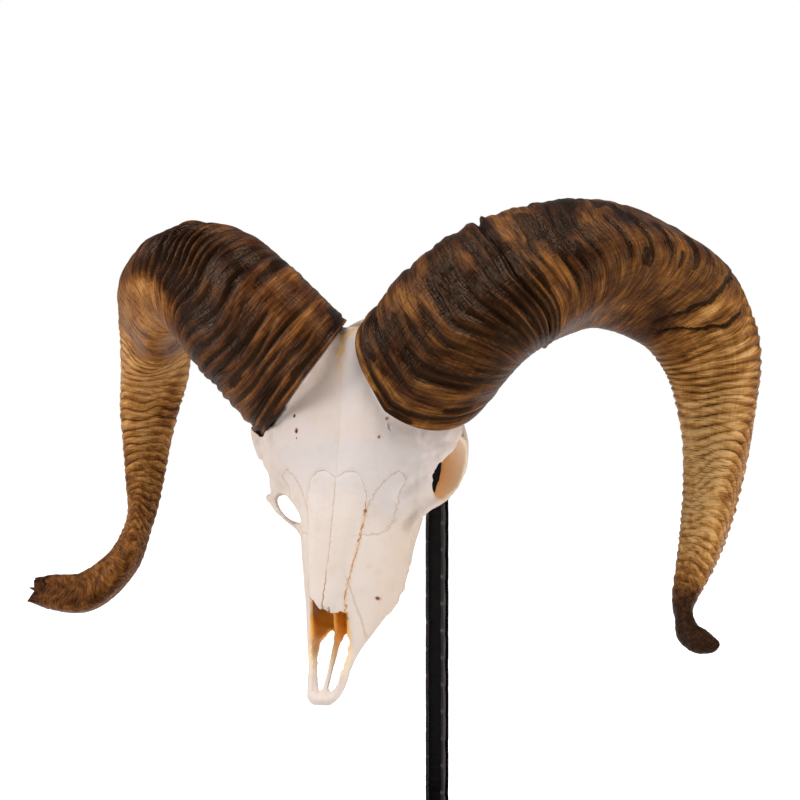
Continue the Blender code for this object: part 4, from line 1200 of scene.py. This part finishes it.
def boneMaterial():
    made, tree, shader, spot = newMaterial("Bleached bone")
    origin = skullCoordinates([(0, 0, 0)])[0]
    # Object coordinates turned into (side, ahead, above) in mm
    links = {"Vector": spot, "Location": tuple(origin), "Rotation": (-(math.pi / 2 + skull["pitch"]), 0, 0),
             "Scale": (1000, 1000, -1000)}
    place = addNode(tree, "ShaderNodeMapping", links, vector_type="POINT").outputs[0]
    side, forward, up = addNode(tree, "ShaderNodeSeparateXYZ", {0: place}).outputs
    mapped, mixed, product = (partial(make, tree) for make in (mapRange, mixColour, times))
    cloudy = partial(noise, tree, spot)
    absolute = partial(mathNode, tree, "ABSOLUTE")

    def band(value, width, edge):
        # 1 within width of nought, gone past edge
        return mapped(absolute(value), width, edge, 1.0, 0.0)

    def shaken(value, scale, amount, detail=2.0):
        wave = mathNode(tree, "SUBTRACT", cloudy(scale, detail), 0.5)
        return total(tree, value, product(wave, amount))

    def layered(colour, layers):
        for share, over in layers:
            colour = mixed(share, colour, over)
        return colour

    mottle, speck = cloudy(90.0, 4.0), cloudy(420.0, 3.0)
    middle, nasal, tear, jaw = (attribute(tree, "suture_" + name) for name in sutures)
    crestGap = shaken(mathNode(tree, "SUBTRACT", middle, 2.0), 190.0, 12.0, 4.0)
    crest = product(mapped(shaken(forward, 60.0, 30.0), -90.0, -62.0, 1.0, 0.0), band(crestGap, 0.5, 4.5))
    # painted shade of the horns on the sides of the forehead, towards the horn bases
    paintedHornShade = product(mapped(absolute(shaken(side, 40.0, 12.0)), 30.0, 52.0),
                  mapped(forward, -66.0, -30.0, 1.0, 0.0))
    colour = layered(mixed(mapped(cloudy(16.0, 4.0), 0.35, 0.65), boneLook["pale"], boneLook["warm"]), (
        # the nose and cheeks are chalkier than the forehead
        (mapped(shaken(forward, 30.0, 60.0), -10.0, 40.0, 0.0, 0.7), boneLook["chalk"]),
        (mapped(mottle, 0.52, 0.75, 0.0, 0.3), "#d2b79f"),
        (mapped(speck, 0.6, 0.8, 0.0, 0.25), "#c8ad96"),
        # yellow grease along the crest's midline and round the horns
        (product(crest, 0.85), boneLook["grease"]),
        (product(attribute(tree, "rim"), mapped(mottle, 0.42, 0.62), 0.35), "#c9a67e"),
        # under and behind, where the sun reached less
        (mapped(up, -95.0, -50.0, 0.55, 0.0), "#d0b08a"),
        # painted shade: greyer about the brows below the horns, and warmer on the cheeks
        (product(paintedHornShade, 0.5), "#b39c8c"),
        (mapped(shaken(up, 30.0, 14.0), -40.0, -16.0, 0.55, 0.0), "#dcc3ad"),
    ))
    # hollows, paler towards their edges
    away = absolute(side)
    orbitTan = mixed(mapped(shaken(away, 50.0, 10.0), 52.0, 70.0), boneLook["orbit"], boneLook["orbitEdge"])
    colour = mixed(attribute(tree, "in_orbit"), colour, orbitTan)
    noseTan = mixed(mapped(shaken(forward, 60.0, 14.0), 92.0, 116.0), boneLook["nose"], boneLook["noseLow"])
    noseTan = mixed(mapped(forward, 112.0, 132.0), noseTan, colour)
    colour = mixed(attribute(tree, "in_nose"), colour, noseTan)
    # sutures: jagged fine lines, orange where grease has stayed in them
    top = attribute(tree, "top")
    onNose = mapped(forward, -4.0, 6.0)
    faint = product(mapped(forward, 55.0, 80.0, 0.45, 0.95),
                    mapped(cloudy(150.0, 2.0), 0.36, 0.52, 0.35, 1.0))
    middleLine = product(band(shaken(middle, 300.0, 2.6), 0.1, 0.6), top,
                         mapped(onNose, 0.0, 1.0, 0.35, 1.0), faint)
    strong = product(mapped(side, 4.0, 8.0), mapped(forward, 10.0, 18.0))
    broken = mapped(cloudy(210.0, 2.0), 0.40, 0.54)
    nasalLine = product(band(shaken(nasal, 330.0, 3.0), 0.1, 0.55), top, mapped(broken, 0.0, 1.0, 0.35, 1.0))
    tearLine = product(band(shaken(tear, 380.0, 4.2, 3.0), 0.1, 0.7), top, 0.45)
    jawLine = product(band(shaken(jaw, 200.0, 1.6), 0.2, 0.8), 0.35, mapped(up, -34.0, -28.0))
    tints = [mixed(share, boneLook["faintSuture"], boneLook["suture"]) for share in (onNose, strong)]
    colour = layered(colour, (
        (middleLine, tints[0]),
        (product(band(shaken(nasal, 260.0, 4.0), 0.2, 1.8), top, strong, 0.28), "#d9a664"),
        (product(nasalLine, mapped(strong, 0.0, 1.0, 0.4, 0.95)), tints[1]),
        (mathNode(tree, "MAXIMUM", tearLine, jawLine), "#bb9468"),
        (mapped(attribute(tree, "stain"), 0.25, 0.85, 0.0, 0.95), boneLook["hole"]),
    ))
    pores = addNode(tree, "ShaderNodeTexVoronoi", {"Vector": spot, "Scale": 620.0}).outputs["Distance"]
    pit = product(mapped(pores, 0.0, 0.28, -1.0, 0.0), mapped(mottle, 0.45, 0.6))
    cut = fold(tree, "MAXIMUM", middleLine, nasalLine, tearLine, jawLine)
    grain = total(tree, product(speck, 0.5), product(mottle, 0.6), product(pit, 0.5), product(cut, -1.1))
    fillSockets(tree, shader, {
        "Base Color": colour, "Roughness": 0.6, "IOR": 1.5, "Specular IOR Level": 0.35,
        "Normal": bump(tree, grain, 0.6, 0.0006),
    })
    return made


def enamelMaterial():
    made, tree, shader, spot = newMaterial("Worn enamel")
    colour = mixColour(tree, noise(tree, spot, 260.0, 3.0), "#cdb68f", "#efe3c9")
    fillSockets(tree, shader, {"Base Color": colour, "Roughness": 0.4})
    return made


def steelMaterial():
    made, tree, shader, spot = newMaterial("Black waxed forged steel")
    scale = noise(tree, spot, 140.0, 4.0)
    colour = mixColour(tree, mapRange(tree, scale, 0.35, 0.7), "#080606", "#120e0d")
    # the wax is rubbed off the corners, most of all where the hammer left ticks, which also carry painted
    # highlights; the side faces are painted paler grey as a painted sheen
    colour = mixColour(tree, attribute(tree, "rubbedAndGlint"), colour, "#8d8488")
    normal = addNode(tree, "ShaderNodeNewGeometry").outputs["Normal"]
    facing = addNode(tree, "ShaderNodeSeparateXYZ", {0: normal}).outputs[0]
    # painted sheen: the faces turned sideways are painted paler grey
    sideFaceSheen = mapRange(tree, mathNode(tree, "ABSOLUTE", facing), 0.85, 1.0, 0.0, 0.8)
    fillSockets(tree, shader, {
        "Base Color": mixColour(tree, sideFaceSheen, colour, mixColour(tree, scale, "#4d4447", "#6f6568")),
        "Roughness": mapRange(tree, scale, 0.3, 0.7, 0.42, 0.6), "Specular IOR Level": 0.1,
        "Normal": bump(tree, scale, 0.3, 0.0006),
    })
    return made


# The post: a square bar with hammered corners; its line runs up, forward, then leans into the skull
post = {
    "half": (7.5, 7.5, 7.5, 7.1, 5.5, 5.0, 4.0),  # at each turn of the line
    "corner": 1.3, "tick": 21.0, "hammered": 330,
    "foot": (0, 56, 8.3), "rise": 372, "lean": ((0, -2, 18), (0, -14, 30)),
    "pegMouth": (0, -118, -93), "pegTip": (0, -92, -72),
}


def makePost(finish):
    foot = Vector(post["foot"])
    rise = Vector((foot.x, foot.y, post["rise"]))
    mouth, tip = (skullPoint(*post[key]) / mm for key in ("pegMouth", "pegTip"))
    leaning = [rise + Vector(step) for step in post["lean"]]
    route = [foot, rise, *leaning, mouth + (mouth - tip) * 0.9, mouth, tip]
    lengths = np.concatenate([[0], np.cumsum([(b - a).length for a, b in zip(route, route[1:])])])
    places = sorted(set(np.round(np.concatenate([np.arange(0, lengths[1], 1.5), lengths]), 3)))
    bm = bmesh.new()
    layer = bm.verts.layers.float.new("rubbedAndGlint")
    rows = []
    for place in places:
        k = min(int(np.searchsorted(lengths, place, side="right")) - 1, len(route) - 2)
        share = (place - lengths[k]) / (lengths[k + 1] - lengths[k])
        centre = route[k].lerp(route[k + 1], share)
        half = post["half"][k] + (post["half"][k + 1] - post["half"][k]) * share
        heading = (route[k + 1] - route[k]).normalized()
        before = (route[k] - route[k - 1]).normalized() if share < 0.001 and k > 0 else heading
        run = (before + heading).normalized()
        deep = run.cross(sideways).normalized()
        hammered = k == 0 and place < post["hammered"]
        row = []
        for n, (x, y) in enumerate(((1, -1), (1, 1), (-1, 1), (-1, -1))):
            wave = softNoise(np.array([place / 9.0]), np.array([n * 3.0]), 400)[0]
            tick = math.exp(-(((place + 5 * n) % post["tick"] - 6) / 1.3) ** 2) if hammered else 0
            cut = post["corner"] * (1 + 0.25 * wave + 0.25 * tick)
            size = half - 0.08 * abs(wave)
            edge, inner = size - cut, size - cut - 0.9
            corner = [(x * size, y * inner), (x * size, y * edge), (x * edge, y * size),
            (x * inner, y * size)]
            if x * y > 0:
                corner.reverse()
            # pale on the corners, most at the hammer ticks: wax rubbed off, and painted highlights on the
            # ticks
            wearAndGlint = 0.10 + (0.28 + 0.12 * wave) * tick
            for (u, v), rubbedAndGlint in zip(corner, (0, wearAndGlint, wearAndGlint, 0)):
                vert = bm.verts.new((centre + sideways * u + deep * v) * mm)
                vert[layer] = rubbedAndGlint
                row.append(vert)
        rows.append(row)
    bridge(bm, rows)
    bm.faces.new(rows[0])
    bm.faces.new(rows[-1])
    made = objectFrom(bm, "hammered_post")
    made.data.materials.append(finish)
    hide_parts("stand_post")
    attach(made, "root")


def finishNode(name, finish):
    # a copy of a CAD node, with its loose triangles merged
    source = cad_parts[name]
    bm = bmesh.new()
    bm.from_mesh(source.data)
    bmesh.ops.transform(bm, matrix=source.matrix_world, verts=bm.verts)
    bmesh.ops.remove_doubles(bm, verts=bm.verts, dist=0.00002)
    made = objectFrom(bm, name + "_finished")
    made.data.materials.append(finish)
    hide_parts(name)
    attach(made, "root")


# Camera, light, floor

view = {"place": (0.3735, -1.0553, 0.362), "heading": math.radians(20), "lens": 67.2}
light = {
    "sweep": 0.22,
    "floor": {"seen": 1.0, "given": 0.22},
    "target": (0, -0.05, 0.36),
    # each box is its place, its size and its power
    "boxes": {
        "left_box": ((-1.4, -0.9, 1.1), (0.6, 0.9), 17),
        "right_box": ((1.7, -0.3, 0.9), (0.6, 0.9), 14),
        "top_box": ((0.1, -0.5, 1.7), (0.8, 0.6), 14),
    },
}


def makeCamera():
    data = bpy.data.cameras.new("camera")
    data.lens = view["lens"]
    data.sensor_width = 36.0
    made = bpy.data.objects.new("camera", data)
    made.location = view["place"]
    made.rotation_euler = (math.pi / 2, 0, view["heading"])
    bpy.context.scene.collection.objects.link(made)
    bpy.context.scene.camera = made


def softBox(name, place, size, power):
    data = bpy.data.lights.new(name, "AREA")
    data.shape = "RECTANGLE"
    data.size, data.size_y = size
    data.energy = power
    made = bpy.data.objects.new(name, data)
    made.location = place
    aim = Vector(light["target"]) - Vector(place)
    made.rotation_euler = aim.to_track_quat("-Z", "Y").to_euler()
    bpy.context.scene.collection.objects.link(made)


def makeStage():
    bm = bmesh.new()
    bmesh.ops.create_grid(bm, x_segments=1, y_segments=1, size=6.0)
    floor = objectFrom(bm, "floor")
    finish, tree, shader, _ = newMaterial("White studio floor")
    seen = addNode(tree, "ShaderNodeLightPath").outputs["Is Camera Ray"]
    fillSockets(tree, shader, {
        "Base Color": (0.9, 0.9, 0.9, 1), "Roughness": 0.9, "Emission Color": (1, 1, 1, 1),
        "Emission Strength": mapRange(tree, seen, 0.0, 1.0, light["floor"]["given"], light["floor"]["seen"]),
    })
    floor.data.materials.append(finish)
    # the white sweep is seen full but lights the skull softly
    world = bpy.data.worlds.new("Studio")
    world.use_nodes = True
    tree = world.node_tree
    seen = addNode(tree, "ShaderNodeLightPath").outputs["Is Camera Ray"]
    strength = addNode(tree, "ShaderNodeMapRange", {"Value": seen, "To Min": light["sweep"], "To Max": 1.0})
    fillSockets(tree, tree.nodes["Background"], {0: (1, 1, 1, 1), 1: strength.outputs[0]})
    bpy.context.scene.world = world
    for name, box in light["boxes"].items():
        softBox(name, *box)
    bpy.context.scene.view_settings.view_transform = "Standard"


makeCamera()
makeStage()
bone, enamel, steel = boneMaterial(), enamelMaterial(), steelMaterial()

ridgeTree = fineRidges()
for hornName in horns:
    hornFinish = hornMaterial("Weathered horn " + hornName[5:], hornTones[hornName])
    piece = makeHorn(hornName, hornFinish, ridgeTree)
    piece.name = hornName + "_sheath"
    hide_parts(hornName)
    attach(piece, "root")
    print(piece.name, "made,", len(piece.data.polygons), "faces")

bonePiece = makeSkull(bone)
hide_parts("skull")
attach(bonePiece, "root")
print("skull made")

for toothSide in (1, -1):
    for number in range(len(teeth["sizes"])):
        makeTooth(toothSide, number, enamel)
makePost(steel)
finishNode("stand_base", steel)
print("teeth and stand made")
